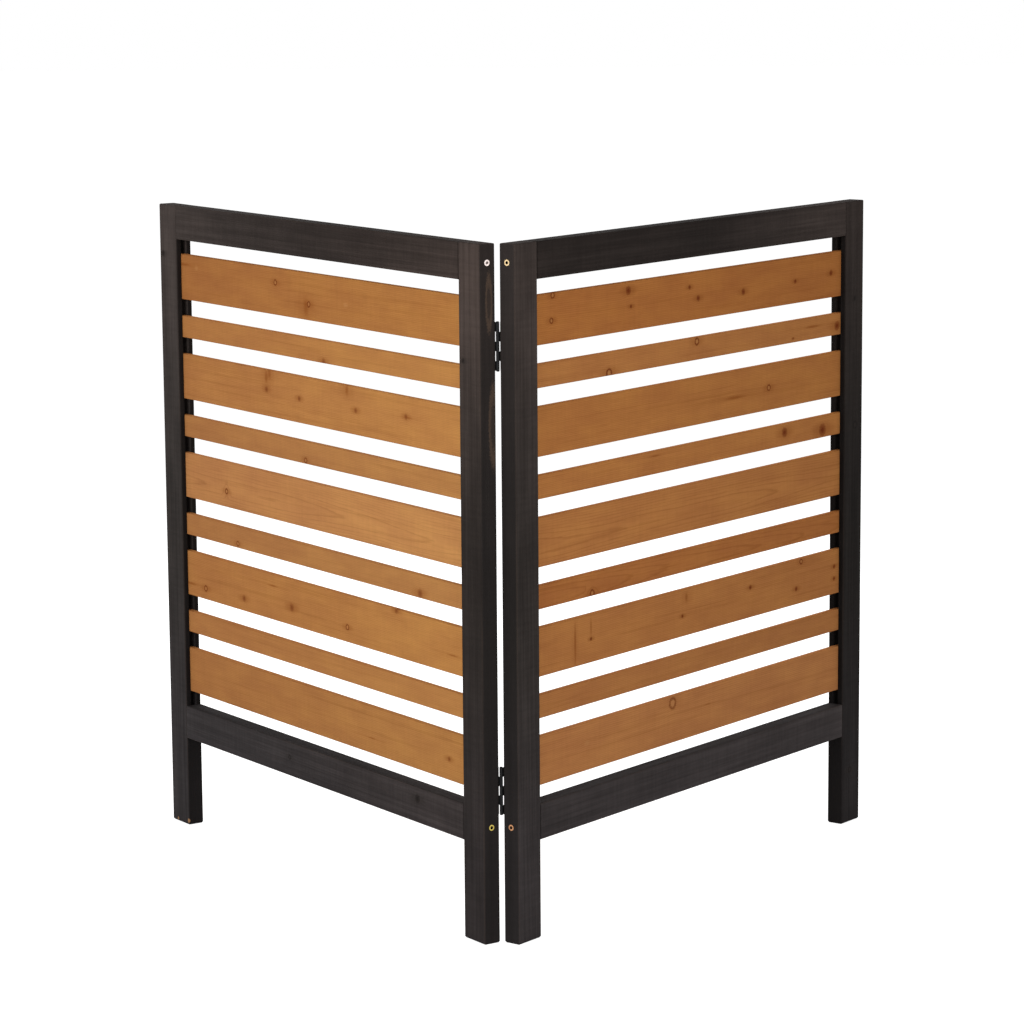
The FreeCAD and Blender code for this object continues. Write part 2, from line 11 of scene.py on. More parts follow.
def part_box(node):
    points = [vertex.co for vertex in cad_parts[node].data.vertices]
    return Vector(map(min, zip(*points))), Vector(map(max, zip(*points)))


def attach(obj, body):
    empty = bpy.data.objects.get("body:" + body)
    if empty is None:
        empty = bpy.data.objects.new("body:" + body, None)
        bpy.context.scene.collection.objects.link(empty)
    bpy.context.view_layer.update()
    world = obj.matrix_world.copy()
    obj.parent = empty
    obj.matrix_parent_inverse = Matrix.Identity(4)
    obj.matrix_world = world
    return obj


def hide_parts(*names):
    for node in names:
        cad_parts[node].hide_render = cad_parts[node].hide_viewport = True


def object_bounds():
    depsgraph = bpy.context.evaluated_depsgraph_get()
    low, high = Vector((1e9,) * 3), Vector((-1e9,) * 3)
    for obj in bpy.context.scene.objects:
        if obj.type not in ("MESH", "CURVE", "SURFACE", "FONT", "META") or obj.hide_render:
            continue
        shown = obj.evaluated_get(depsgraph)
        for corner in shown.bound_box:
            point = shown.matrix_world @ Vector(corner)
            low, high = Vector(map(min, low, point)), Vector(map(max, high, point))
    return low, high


bl_info = {
    "name": "Folding slatted screen",
    "version": (1, 0, 0),
    "blender": (4, 5, 0),
    "location": "3D View > Sidebar > Screen",
    "description": "Stains the boards, finishes the metal and sets the stage of a folding screen",
    "category": "Object",
}

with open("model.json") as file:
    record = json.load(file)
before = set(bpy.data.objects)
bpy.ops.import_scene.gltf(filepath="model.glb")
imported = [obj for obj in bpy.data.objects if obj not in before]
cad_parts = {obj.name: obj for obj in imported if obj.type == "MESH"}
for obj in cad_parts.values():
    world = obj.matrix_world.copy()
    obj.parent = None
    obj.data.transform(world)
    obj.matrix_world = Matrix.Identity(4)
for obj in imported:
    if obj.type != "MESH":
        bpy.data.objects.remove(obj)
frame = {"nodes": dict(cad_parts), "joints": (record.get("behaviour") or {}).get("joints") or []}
CAD_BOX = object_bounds()
NODES = frame["nodes"]
SIDES = ("left", "right")
PIN = Vector(frame["joints"][0]["pos_m"])
SLATS = 9
MM = 0.001
# A panel's axes.
ALONG, DEEP, UP = range(3)
# Corners of a mesh nearer than this are one corner.
WELD = 0.01 * MM

# A mark on a board: shares of the board's length, height and depth, a radius in mm and a kind.
Mark = namedtuple("Mark", "along up radius kind depth", defaults=(0.5,))

# What a kind of mark looks like: its reach along, across the depth and up the board in radii, how
# strongly its core, its rim and the stain around it show, how far it bends the grain, and the colours
# of its core and rim.
MarkLook = namedtuple("MarkLook", "along deep up core rim halo bend heart tone")
MARK_LOOKS = {
    "dark": MarkLook(1.2, 12.0, 1.2, 0.88, 0.50, 0.42, 1.0, "knot", "knot"),
    "brown": MarkLook(1.25, 12.0, 1.25, 0.62, 0.30, 0.40, 1.0, "knot", "knot"),
    "ring": MarkLook(1.05, 12.0, 1.05, 0.40, 0.80, 0.36, 1.2, "pale", "knot"),
    "faint": MarkLook(1.05, 12.0, 1.05, 0.30, 0.60, 0.12, 1.2, "pale", "knot"),
    "pale": MarkLook(1.6, 12.0, 1.0, 0.45, 0.20, 0.0, 0.6, "pale", "pale"),
    "smear": MarkLook(1.4, 12.0, 2.8, 0.60, 0.10, 0.20, 0.5, "smear", "smear"),
    "streak": MarkLook(9.0, 12.0, 0.9, 0.65, 0.10, 0.15, 0.2, "smear", "smear"),
    "crack": MarkLook(0.7, 12.0, 8.0, 0.70, 0.30, 0.15, 0.3, "smear", "smear"),
    "chip": MarkLook(1.0, 1.2, 1.4, 1.0, 0.8, 0.0, 0.0, "chip", "chip"),
    "flame": MarkLook(1.6, 1.12, 7.9, 0.18, 0.62, 0.0, 0.4, "bare", "bare"),
}

SLAT_MARKS = {
    "left_slat_1": (Mark(0.32, 0.33, 1.6, "streak"), Mark(0.06, 0.44, 3.2, "brown")),
    "left_slat_3": (
        Mark(0.93, 0.25, 5.0, "ring"), Mark(0.99, 0.27, 3.2, "streak"), Mark(0.78, 0.28, 4.4, "brown"),
        Mark(0.60, 0.39, 5.2, "brown"), Mark(0.40, 0.32, 4.6, "ring"), Mark(0.23, 0.98, 4.2, "brown"),
        Mark(0.67, 0.75, 2.2, "streak"), Mark(0.045, 0.38, 2.0, "streak"),
    ),
    "left_slat_4": (Mark(0.80, 0.20, 4.2, "ring"), Mark(0.15, 0.20, 5.4, "brown")),
    "left_slat_5": (Mark(0.84, 0.35, 4.6, "ring"),),
    "left_slat_6": (Mark(0.54, 0.16, 4.2, "ring"),),
    "left_slat_7": (
        Mark(0.68, 0.58, 4.0, "brown"), Mark(0.68, 0.84, 4.5, "smear"), Mark(0.668, 0.93, 4.0, "smear"),
        Mark(0.56, 0.52, 3.4, "brown"), Mark(0.36, 0.51, 3.6, "brown"), Mark(0.19, 0.59, 3.6, "brown"),
        Mark(0.18, 0.58, 1.4, "streak"), Mark(0.39, 0.90, 4.0, "smear"),
    ),
    "left_slat_8": (Mark(0.47, 0.05, 4.4, "brown"),),
    "left_slat_9": (
        Mark(0.94, 0.74, 4.0, "pale"), Mark(0.64, 0.69, 4.6, "ring"), Mark(0.53, 0.26, 6.5, "smear"),
        Mark(0.52, 0.34, 4.5, "ring"), Mark(0.39, 0.45, 4.2, "pale"), Mark(0.99, 0.78, 3.2, "streak"),
    ),
    "right_slat_1": (
        Mark(0.425, 0.85, 9.0, "faint"), Mark(0.155, 0.57, 4.5, "pale"), Mark(0.54, 0.60, 1.2, "streak"),
    ),
    "right_slat_3": (
        Mark(0.12, 0.47, 4.0, "crack"), Mark(0.168, 0.72, 1.8, "crack"), Mark(0.168, 0.49, 2.4, "dark"),
        Mark(0.47, 0.82, 3.4, "smear"), Mark(0.457, 0.44, 2.6, "dark"), Mark(0.685, 0.66, 3.2, "dark"),
        Mark(0.863, 0.93, 4.4, "ring"), Mark(0.846, 0.35, 3.4, "dark"), Mark(0.983, 0.62, 3.0, "dark"),
        Mark(0.983, 0.35, 3.0, "dark"),
    ),
    "right_slat_4": (Mark(0.172, 0.12, 5.4, "ring"),),
    "right_slat_6": (
        Mark(0.802, 0.61, 6.4, "dark"), Mark(0.937, 0.35, 8.0, "dark"), Mark(0.37, 0.79, 2.0, "streak"),
    ),
    "right_slat_7": (Mark(0.746, 0.49, 5.0, "ring"), Mark(0.63, 0.42, 4.0, "streak")),
    "right_slat_8": (
        Mark(0.504, 0.81, 5.6, "ring"), Mark(0.987, 0.42, 6.2, "dark"), Mark(0.226, 0.10, 7.0, "ring"),
        Mark(0.83, 0.19, 1.6, "dark"), Mark(0.90, 0.58, 3.2, "streak"),
    ),
    "right_slat_9": (
        Mark(0.058, 0.95, 4.6, "ring"), Mark(0.054, 0.45, 4.2, "ring"), Mark(0.286, 0.82, 5.4, "dark"),
        Mark(0.294, 0.49, 2.6, "dark"), Mark(0.48, 0.70, 3.0, "dark"), Mark(0.508, 0.44, 3.8, "dark"),
        Mark(0.658, 0.43, 4.2, "dark"), Mark(0.837, 0.48, 3.0, "dark"), Mark(0.964, 0.54, 4.0, "dark"),
    ),
}

FRAME_MARKS = {
    "left_outer_post": (
        Mark(0.667, 0.004, 2.2, "chip", 1.0), Mark(0.03, 0.007, 2.4, "chip", 1.0),
        Mark(0.80, 0.922, 4.0, "dark"),
    ),
    "left_inner_post": (
        Mark(0.0, 0.918, 5.2, "flame", 0.40), Mark(0.0, 0.744, 7.5, "flame", 0.16),
        Mark(0.80, 0.834, 3.4, "dark"),
    ),
    "left_bottom_rail": (Mark(0.15, 0.68, 5.5, "dark"), Mark(0.60, 0.56, 4.0, "ring")),
    "right_outer_post": (
        Mark(0.52, 0.847, 3.6, "dark"), Mark(0.60, 0.645, 6.5, "ring"), Mark(0.45, 0.086, 5.0, "ring"),
    ),
}

# How each slat's stain came out, from the lowest slat up: lightness and saturation against the plain stain.
SLAT_TONES = {
    "left": (
        (0.95, 0.984), (1.00, 0.980), (1.01, 0.990), (0.97, 0.972), (1.11, 0.960),
        (0.98, 0.973), (1.04, 0.987), (1.02, 0.987), (0.91, 1.004),
    ),
    "right": (
        (1.06, 0.978), (0.98, 0.990), (1.00, 1.000), (0.92, 1.020), (1.02, 1.000),
        (1.03, 1.007), (1.00, 1.012), (1.02, 0.998), (0.94, 1.025),
    ),
}
# Painted light and shade along a frame board, over its stain's own tone, at its start, middle and end: up a
# post, outwards along a rail. The posts are painted lighter at the top, as under light from above.
FRAME_LIGHT_AND_TONES = {
    "left_outer_post": (0.96, 0.94, 1.67),
    "left_inner_post": (0.78, 0.62, 1.72),
    "left_top_rail": (1.20, 0.80, 1.37),
    "left_bottom_rail": (1.29, 1.00, 1.12),
    "right_outer_post": (0.51, 0.35, 0.98),
    "right_inner_post": (1.20, 0.97, 1.58),
    "right_top_rail": (0.75, 0.62, 1.40),
    "right_bottom_rail": (1.22, 1.40, 1.43),
}
# Slats whose stain came out redder, as a change of hue.
REDDER_SLATS = {"left_slat_9": -0.003, "right_slat_4": -0.004, "right_slat_9": -0.003}
# Painted light falloff of a panel's slats: how much darker they are painted towards the outer post, and
# their hue at the inner and the outer post.
SLAT_FALLOFFS_AND_HUES = {
    "left": (0.028, 0.5045, 0.4995),
    "right": (0.040, 0.4970, 0.4970),
}
# How saturated the frame's stain is at the inner and at the outer end of a panel.
FRAME_SATURATIONS = {"left": (1.02, 0.76), "right": (0.88, 0.88)}
# Painted shade on a post's face towards the pin: how dark it is painted against its other faces, at its
# foot, its middle and its top. On the outer posts that face is the one seen in the gaps between the slats.
PIN_SIDE_PAINTED_SHADES = {
    "left_outer_post": (0.45, 0.45, 0.45),
    "left_inner_post": (0.84, 0.90, 0.78),
    "right_outer_post": (0.45, 0.45, 0.45),
    "right_inner_post": (0.68, 0.55, 0.82),
}
# Casts of the lower and the upper socket screws of a panel. The upper left screw's pale cast is partly a
# painted highlight, paler for the lamp's reflection on it.
SCREW_CASTS = {"left": ("yellow_zinc", "pale_zinc_highlight"), "right": ("copper_zinc", "gold_zinc")}
# How dark the painted shade in the sockets of the lower and the upper socket screws is.
SOCKET_PAINTED_SHADE = {"left": (1.0, 0.45), "right": (1.0, 1.0)}
# Slats sawn so that the rings show as long arches, and how far the rings widen per metre outwards.
# The others show them as straight lines.
ARCHED_SLATS = {"left_slat_5": -0.007, "right_slat_4": 0.016, "right_slat_5": 0.009}
STRAIGHT_TAPER = 0.002

# How a wood's grain shows: how far its rings wander in metres, for streaks and fibre the range of their
# noise and how much colour it brings, and for blotches and planer marks the swing of the lightness. Then
# roughness, gloss, the weight of the rings in the relief, and the relief's height and strength.
WoodLook = namedtuple("WoodLook", "wander streaks fibre blotches mill roughness gloss ridges height relief")
SLAT_LOOK = WoodLook(
    wander=0.010, streaks=(0.50, 0.78, 0.0, 0.50), fibre=(0.35, 0.75, 0.0, 0.30), blotches=(0.93, 1.07),
    mill=(0.980, 1.020), roughness=(0.80, 0.92), gloss=0.08, ridges=0.5, height=0.22 * MM, relief=0.35)
FRAME_LOOK = WoodLook(
    wander=0.009, streaks=(0.28, 0.76, 0.28, 0.78), fibre=(0.52, 0.82, 0.0, 0.35), blotches=(0.84, 1.18),
    mill=(0.94, 1.06), roughness=(0.88, 0.74), gloss=0.06, ridges=0.7, height=0.30 * MM, relief=0.45)
# Where in a year's ring the late wood starts, and how strongly it shows.
ARCHED_RINGS = (0.70, 0.46)
STRAIGHT_RINGS = (0.45, 0.38)
FRAME_RINGS = (0.45, 0.22)
# Ranges over which noises are read.
BLOTCH_RANGE = (0.25, 0.75)
MILL_RANGE = (0.30, 0.70)
STREAK_RANGE = (0.2, 0.8)
FINE_RANGE = (0.3, 0.7)
# How far a slat's blotches swing its hue, and how much stain its edges hold.
HUE_SWING = 0.0025
EDGE_STAIN = 0.20
# Heights in metres between which the frame's painted colder floor bounce goes and its painted warmer light
# from above comes.
FLOOR_BOUNCE_SPAN = (0.10, 0.50)
TOP_LIGHT_SPAN = (0.55, 1.05)
# Cosines between which a face of the frame counts as looking up, or towards the pin, for its painted shade.
UPWARD = (0.60, 0.95)
PINWARD = (0.55, 0.95)
# How far a post's face towards the pin takes the painted shade colour of that side.
PIN_SIDE_SHADE_SHARE = 0.60
# Streaks at which the frame's arrises are rubbed, and how much bare wood shows there.
RUBBED = (0.40, 0.70, 0.0, 0.30)
# Where the soft border of the painted shade in a screw's socket and of the painted shadow round its rim
# ends, against their radius, and how dark that painted shadow is.
SOCKET_BORDER = 1.12
RIM_BORDER = 1.10
RIM_PAINTED_SHADE = 0.85

# Noises of timber and of rubbed metal: cycles per metre along each axis, detail and roughness.
TIMBER_NOISES = {
    "Streaks": ((2.4, 90.0, 170.0), 4.0, 0.66),
    "Fibre": ((26.0, 1300.0, 1300.0), 2.0, 0.6),
    "Blotches": ((9.0, 16.0, 26.0), 3.0, 0.55),
    "Mill": ((150.0, 10.0, 14.0), 2.0, 0.6),
}
RUB_NOISES = {
    "Scratches": ((900.0, 900.0, 5200.0), 2.0, 0.6),
    "Patches": ((260.0, 260.0, 180.0), 3.0, 0.65),
    "Mottle": ((120.0, 120.0, 120.0), 2.0, 0.5),
}


class SlatFinish(bpy.types.PropertyGroup):
    """Orange-brown stain on the slats."""

    light: FloatVectorProperty(
        name="Light wood", description="Colour of the soft early wood",
        default=(0.500, 0.210, 0.0600), size=3, subtype="COLOR", min=0, max=1)
    dark: FloatVectorProperty(
        name="Dark wood", description="Colour of the hard late wood",
        default=(0.335, 0.125, 0.0315), size=3, subtype="COLOR", min=0, max=1)
    knot: FloatVectorProperty(
        name="Knots", description="Colour of a knot",
        default=(0.145, 0.022, 0.003), size=3, subtype="COLOR", min=0, max=1)
    smear: FloatVectorProperty(
        name="Smears", description="Colour of resin streaks and cracks",
        default=(0.260, 0.072, 0.012), size=3, subtype="COLOR", min=0, max=1)
    pale: FloatVectorProperty(
        name="Pale spots", description="Colour of overgrown knots",
        default=(0.520, 0.245, 0.085), size=3, subtype="COLOR", min=0, max=1)
    ring_width: FloatProperty(
        name="Ring width", description="Width of one year's growth",
        default=0.0026, unit="LENGTH", min=0.0005)
    edge_band: FloatProperty(
        name="Edge band", description="Width of the darker band along the eased edges",
        default=0.0020, unit="LENGTH", min=0.0)


class FrameFinish(bpy.types.PropertyGroup):
    """Charcoal-brown stain on the posts and rails."""

    light: FloatVectorProperty(
        name="Thin stain", description="Colour where the stain is thin",
        default=(0.050, 0.0398, 0.0355), size=3, subtype="COLOR", min=0, max=1)
    dark: FloatVectorProperty(
        name="Full stain", description="Colour where the wood took most stain",
        default=(0.0239, 0.0190, 0.0167), size=3, subtype="COLOR", min=0, max=1)
    bare: FloatVectorProperty(
        name="Rubbed figure", description="Colour of figure that shows through the stain",
        default=(0.110, 0.072, 0.050), size=3, subtype="COLOR", min=0, max=1)
    knot: FloatVectorProperty(
        name="Knots", description="Colour of a stained knot",
        default=(0.011, 0.0085, 0.0075), size=3, subtype="COLOR", min=0, max=1)
    # Painted shade colour of the posts' faces that look towards the pin.
    pin_side_shade: FloatVectorProperty(
        name="Pin side", description="Colour of the posts' faces that look towards the pin",
        default=(0.0225, 0.0198, 0.0192), size=3, subtype="COLOR", min=0, max=1)
    # Painted light by height: a colder cast near the ground as of light bounced off the floor, and a warmer
    # cast at the top as of light from above.
    painted_floor_bounce: FloatVectorProperty(
        name="Low tint", description="Cold cast of the stain near the ground",
        default=(1.0, 1.04, 1.16), size=3, subtype="COLOR", min=0, max=2)
    painted_top_light: FloatVectorProperty(
        name="High tint", description="Warm cast of the stain at the top",
        default=(1.0, 0.93, 0.91), size=3, subtype="COLOR", min=0, max=2)
    # Painted shade: faces that look up are painted darker than the fronts.
    painted_top_shade: FloatProperty(
        name="Top shade", description="Lightness of faces that look up, against the fronts",
        default=0.5, min=0)
    chip: FloatVectorProperty(
        name="Chips", description="Colour of bare wood in a chip",
        default=(0.420, 0.230, 0.110), size=3, subtype="COLOR", min=0, max=1)
    ring_width: FloatProperty(
        name="Ring width", description="Width of one year's growth",
        default=0.0034, unit="LENGTH", min=0.0005)
    arris: FloatProperty(
        name="Arris", description="How far from an edge the frame's boards look eased by sanding",
        default=0.004, unit="LENGTH", min=0.0)
    edge_band: FloatProperty(
        name="Rubbed edge", description="Width of the paler band along the arrises",
        default=0.0028, unit="LENGTH", min=0.0)


class MetalFinish(bpy.types.PropertyGroup):
    """Colours of the hinges and fixings."""

    hinge: FloatVectorProperty(
        name="Hinge paint", description="Black paint on leaves, pins and hinge screws",
        default=(0.007, 0.007, 0.0078), size=3, subtype="COLOR", min=0, max=1)
    steel: FloatVectorProperty(
        name="Bare steel", description="Brads, and where hinge paint has rubbed off",
        default=(0.40, 0.40, 0.41), size=3, subtype="COLOR", min=0, max=1)
    yellow_zinc: FloatVectorProperty(
        name="Yellow zinc", description="Socket screw with a green-yellow cast",
        default=(0.560, 0.440, 0.110), size=3, subtype="COLOR", min=0, max=1)
    gold_zinc: FloatVectorProperty(
        name="Gold zinc", description="Socket screw with a gold cast",
        default=(0.760, 0.570, 0.310), size=3, subtype="COLOR", min=0, max=1)
    copper_zinc: FloatVectorProperty(
        name="Copper zinc", description="Socket screw with a copper cast",
        default=(0.560, 0.280, 0.140), size=3, subtype="COLOR", min=0, max=1)
    # Partly a painted highlight: a paler cast for the lamp's reflection on the upper left screw.
    pale_zinc_highlight: FloatVectorProperty(
        name="Pale zinc", description="Socket screw with hardly any colour",
        default=(0.800, 0.690, 0.660), size=3, subtype="COLOR", min=0, max=1)
    # Painted shade in the socket screws' hollows: the radius within which they are painted dark.
    socket_shade_radius: FloatProperty(
        name="Socket", description="Radius within which the socket screws are dark with oil",
        default=0.0024, unit="LENGTH", min=0.0)
    # Painted shadow of the countersink: the radius past which the socket screws' heads are painted dark.
    rim_radius: FloatProperty(
        name="Rim", description="Radius past which the socket screws' heads are dark with stain",
        default=0.0043, unit="LENGTH", min=0.0)
    beech: FloatVectorProperty(
        name="Beech", description="Bare wood of the dowels",
        default=(0.560, 0.390, 0.230), size=3, subtype="COLOR", min=0, max=1)


class StageSettings(bpy.types.PropertyGroup):
    """Camera, lamps and floor."""

    camera_place: FloatVectorProperty(
        name="Camera", description="Where the camera stands",
        default=(0.1649, -5.7294, 1.5556), size=3, subtype="TRANSLATION", unit="LENGTH")
    camera_pan: FloatProperty(
        name="Pan", description="Turn to the left from straight along +Y",
        default=math.radians(1.559), unit="ROTATION")
    camera_tilt: FloatProperty(
        name="Tilt", description="Turn down from level",
        default=math.radians(9.456), unit="ROTATION")
    camera_roll: FloatProperty(
        name="Roll", description="Lean of the camera",
        default=math.radians(-0.433), unit="ROTATION")
    lens: FloatProperty(
        name="Lens", description="Focal length in mm on a 36 mm sensor", default=127.67, min=1)
    sky: FloatProperty(
        name="Sky", description="Strength of the even light all round", default=0.32, min=0)
    left_lamp: FloatProperty(
        name="Left lamp", description="Power of the softbox on the left, in watts", default=56, min=0)
    right_lamp: FloatProperty(
        name="Right lamp", description="Power of the softbox on the right, in watts", default=30, min=0)
    back_lamp: FloatProperty(
        name="Back lamp", description="Power of the softbox behind, in watts", default=60, min=0)
    floor_glow: FloatProperty(
        name="Floor glow", description="White that the camera sees on the floor beside its shade",
        default=0.84, min=0, max=1)


class Graph:
    """A node tree, with short ways to add the nodes that the finishes need."""

    def __init__(self, tree):
        self.tree = tree

    def feed(self, socket, source):
        if isinstance(source, bpy.types.NodeSocket):
            self.tree.links.new(source, socket)
        else:
            socket.default_value = source

    def fill(self, node, values):
        for name, source in values.items():
            self.feed(node.inputs[name], source)

    def add(self, kind, values=None, **settings):
        node = self.tree.nodes.new(kind)
        for name, setting in settings.items():
            setattr(node, name, setting)
        self.fill(node, values or {})
        return node

    def place(self):
        return self.add("ShaderNodeTexCoord").outputs["Object"]

    def math(self, operation, *terms):
        return self.add("ShaderNodeMath", dict(enumerate(terms)), operation=operation).outputs[0]

    def product(self, first, *others):
        for other in others:
            first = self.math("MULTIPLY", first, other)
        return first

    def vector(self, operation, first, second, output="Vector"):
        node = self.add("ShaderNodeVectorMath", {0: first, 1: second}, operation=operation)
        return node.outputs[output]

    def length(self, vector):
        return self.vector("LENGTH", vector, (0.0, 0.0, 0.0), "Value")

    def off_axis(self, place, centre):
        """How far a place is from the line along X through a point."""
        off = self.vector("SUBTRACT", place, centre)
        return self.length(self.vector("MULTIPLY", off, (0.0, 1.0, 1.0)))

    def parts(self, vector):
        return self.add("ShaderNodeSeparateXYZ", {"Vector": vector}).outputs

    def joined(self, x, y, z):
        return self.add("ShaderNodeCombineXYZ", {"X": x, "Y": y, "Z": z}).outputs[0]

    def ramp(self, value, from_low, from_high, to_low=0.0, to_high=1.0):
        """A value carried smoothly from one range to another."""
        values = {
            "Value": value, "From Min": from_low, "From Max": from_high,
            "To Min": to_low, "To Max": to_high,
        }
        return self.add("ShaderNodeMapRange", values, interpolation_type="SMOOTHSTEP").outputs[0]

    def noise(self, vector, scale, detail=2.0, roughness=0.5):
        """Noise with its own scale along each axis, in cycles per metre."""
        scaled = self.vector("MULTIPLY", vector, scale)
        values = {"Vector": scaled, "Scale": 1.0, "Detail": detail, "Roughness": roughness}
        return self.add("ShaderNodeTexNoise", values).outputs[0]

    def mix(self, factor, first, second, blend="MIX"):
        node = self.add("ShaderNodeMix", data_type="RGBA", blend_type=blend)
        self.feed(node.inputs["Factor"], factor)
        colours = [socket for socket in node.inputs if socket.type == "RGBA"]
        self.feed(colours[0], first)
        self.feed(colours[1], second)
        return next(socket for socket in node.outputs if socket.type == "RGBA")

    def toned(self, colour, value, saturation=1.0, hue=0.5):
        values = {"Color": colour, "Value": value, "Saturation": saturation, "Hue": hue}
        return self.add("ShaderNodeHueSaturation", values).outputs[0]

    def bump(self, height, distance, strength, normal=None):
        values = {"Height": height, "Distance": distance, "Strength": strength}
        if normal is not None:
            values["Normal"] = normal
        return self.add("ShaderNodeBump", values).outputs[0]

    def group(self, tree, **values):
        node = self.add("ShaderNodeGroup", node_tree=tree)
        for name, source in values.items():
            self.feed(node.inputs[name.replace("_", " ")], source)
        return node.outputs


def rgba(colour):
    return (*colour, 1.0)


def new_group(name, inputs, outputs):
    """A shader node group with named sockets, and the graph inside it."""
    tree = bpy.data.node_groups.new(name, "ShaderNodeTree")
    kinds = {"value": "NodeSocketFloat", "vector": "NodeSocketVector"}
    for title, kind in inputs:
        tree.interface.new_socket(title, in_out="INPUT", socket_type=kinds[kind])
    for title in outputs:
        tree.interface.new_socket(title, in_out="OUTPUT", socket_type=kinds["value"])
    graph = Graph(tree)
    given = graph.add("NodeGroupInput").outputs
    asked = graph.add("NodeGroupOutput").inputs
    return tree, graph, given, asked


def timber_group():
    """Rings about a pith, streaks, fibre, blotches and the planer's cross marks of a board."""
    name = "Timber"
    if name in bpy.data.node_groups:
        return bpy.data.node_groups[name]
    tree, graph, given, asked = new_group(
        name,
        (("Grain", "vector"), ("Pith", "vector"), ("Ring Width", "value"), ("Taper", "value"),
         ("Wander", "value"), ("Bend", "value"), ("Late", "value")),
        ("Rings", *TIMBER_NOISES),
    )
    sway_scale = (2.2, 14.0, 14.0)
    ragged_scale = (20.0, 700.0, 700.0)
    ragged_share = 0.28
    ring_peak, ring_end = 0.92, 0.93
    grain = given["Grain"]
    along = graph.parts(grain)["X"]
    radius = graph.off_axis(grain, given["Pith"])
    leaning = graph.math("MULTIPLY_ADD", along, given["Taper"], radius)
    sway = graph.math("SUBTRACT", graph.noise(grain, sway_scale, 2.0), 0.5)
    swayed = graph.math("MULTIPLY_ADD", sway, given["Wander"], leaning)
    bent = graph.math("MULTIPLY_ADD", given["Bend"], given["Ring Width"], swayed)
    rough_edge = graph.math("SUBTRACT", graph.noise(grain, ragged_scale, 1.0), 0.5)
    count = graph.math("DIVIDE", bent, given["Ring Width"])
    ragged = graph.math("MULTIPLY_ADD", rough_edge, ragged_share, count)
    phase = graph.math("FRACT", ragged)
    rise = graph.ramp(phase, given["Late"], ring_peak)
    fall = graph.ramp(phase, ring_end, 1.0, 1.0, 0.0)
    graph.feed(asked["Rings"], graph.product(rise, fall))
    for output, noise in TIMBER_NOISES.items():
        graph.feed(asked[output], graph.noise(grain, *noise))
    return tree


def mark_group():
    """A knot, smear, chip or flame: its core, its rim, the stain around it and how it bends the grain."""
    name = "Board mark"
    if name in bpy.data.node_groups:
        return bpy.data.node_groups[name]
    tree, graph, given, asked = new_group(
        name,
        (("Place", "vector"), ("Centre", "vector"), ("Reach", "vector")),
        ("Core", "Rim", "Halo", "Bend"),
    )
    wobble_scale = (420.0, 420.0, 420.0)
    mark_wobble, halo_wobble = 0.7, 0.9
    halo_squeeze = (0.4, 1.0, 1.0)
    rim_radius = 0.84
    core_fade, rim_fade, halo_fade, bend_fade = (0.30, 0.95), (0.05, 0.42), (0.5, 1.9), (0.7, 4.0)
    off = graph.vector("SUBTRACT", given["Place"], given["Centre"])
    radii = graph.vector("DIVIDE", off, given["Reach"])
    far = graph.length(radii)
    wobble = graph.math("SUBTRACT", graph.noise(given["Place"], wobble_scale, 2.0), 0.5)
    ragged = graph.math("MULTIPLY_ADD", wobble, mark_wobble, far)
    graph.feed(asked["Core"], graph.ramp(ragged, *core_fade, 1.0, 0.0))
    off_rim = graph.math("ABSOLUTE", graph.math("SUBTRACT", ragged, rim_radius))
    graph.feed(asked["Rim"], graph.ramp(off_rim, *rim_fade, 1.0, 0.0))
    drawn_far = graph.length(graph.vector("MULTIPLY", radii, halo_squeeze))
    drawn_ragged = graph.math("MULTIPLY_ADD", wobble, halo_wobble, drawn_far)
    graph.feed(asked["Halo"], graph.ramp(drawn_ragged, *halo_fade, 1.0, 0.0))
    graph.feed(asked["Bend"], graph.ramp(far, *bend_fade, 1.0, 0.0))
    return tree


def rub_group():
    """Fine scratches and worn patches on metal."""
    name = "Rubbed metal"
    if name in bpy.data.node_groups:
        return bpy.data.node_groups[name]
    tree, graph, given, asked = new_group(name, (("Place", "vector"),), RUB_NOISES)
    for output, noise in RUB_NOISES.items():
        graph.feed(asked[output], graph.noise(given["Place"], *noise))
    return tree


def corners(places):
    """Lowest and highest corner of some points."""
    low = Vector(min(place[axis] for place in places) for axis in range(3))
    high = Vector(max(place[axis] for place in places) for axis in range(3))
    return low, high


class Panel:
    """One half of the screen, with axes of its own: X along it from the pin, Z up."""

    def __init__(self, side):
        self.side = side
        inner = self.middle(f"{side}_inner_post")
        outer = self.middle(f"{side}_outer_post")
        self.along = (outer - inner).to_2d().to_3d().normalized()
        self.across = Vector((-self.along.y, self.along.x, 0.0))
        self.turn = math.atan2(self.along.y, self.along.x)
        self.shift = Vector((-PIN.dot(self.along), -inner.dot(self.across), 0.0))
        self.clear = tuple(corner.x for corner in self.span(f"{side}_top_rail"))

    @staticmethod
    def middle(node):
        low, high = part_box(node)
        return (low + high) / 2

    def place(self, point):
        """A row point in the panel's axes."""
        return Vector((point.dot(self.along), point.dot(self.across), point.z)) + self.shift

    def row_place(self, point):
        """A point in the panel's axes, in the row's."""
        off = point - self.shift
        return self.along * off.x + self.across * off.y + Vector((0.0, 0.0, off.z))

    def span(self, node):
        """Lowest and highest corner of a node in the panel's axes."""
        return corners([self.place(vertex.co) for vertex in NODES[node].data.vertices])

    def axes(self, graph):
        """The surface's place in the panel's axes, for a material."""
        values = {"Vector": graph.place(), "Location": self.shift, "Rotation": (0.0, 0.0, -self.turn)}
        return graph.add("ShaderNodeMapping", values).outputs[0]


PANELS = tuple(Panel(side) for side in SIDES)


def emptied(owner):
    """The node tree of a material or world with nothing in it, as a graph."""
    owner.use_nodes = True
    owner.node_tree.nodes.clear()
    return Graph(owner.node_tree)


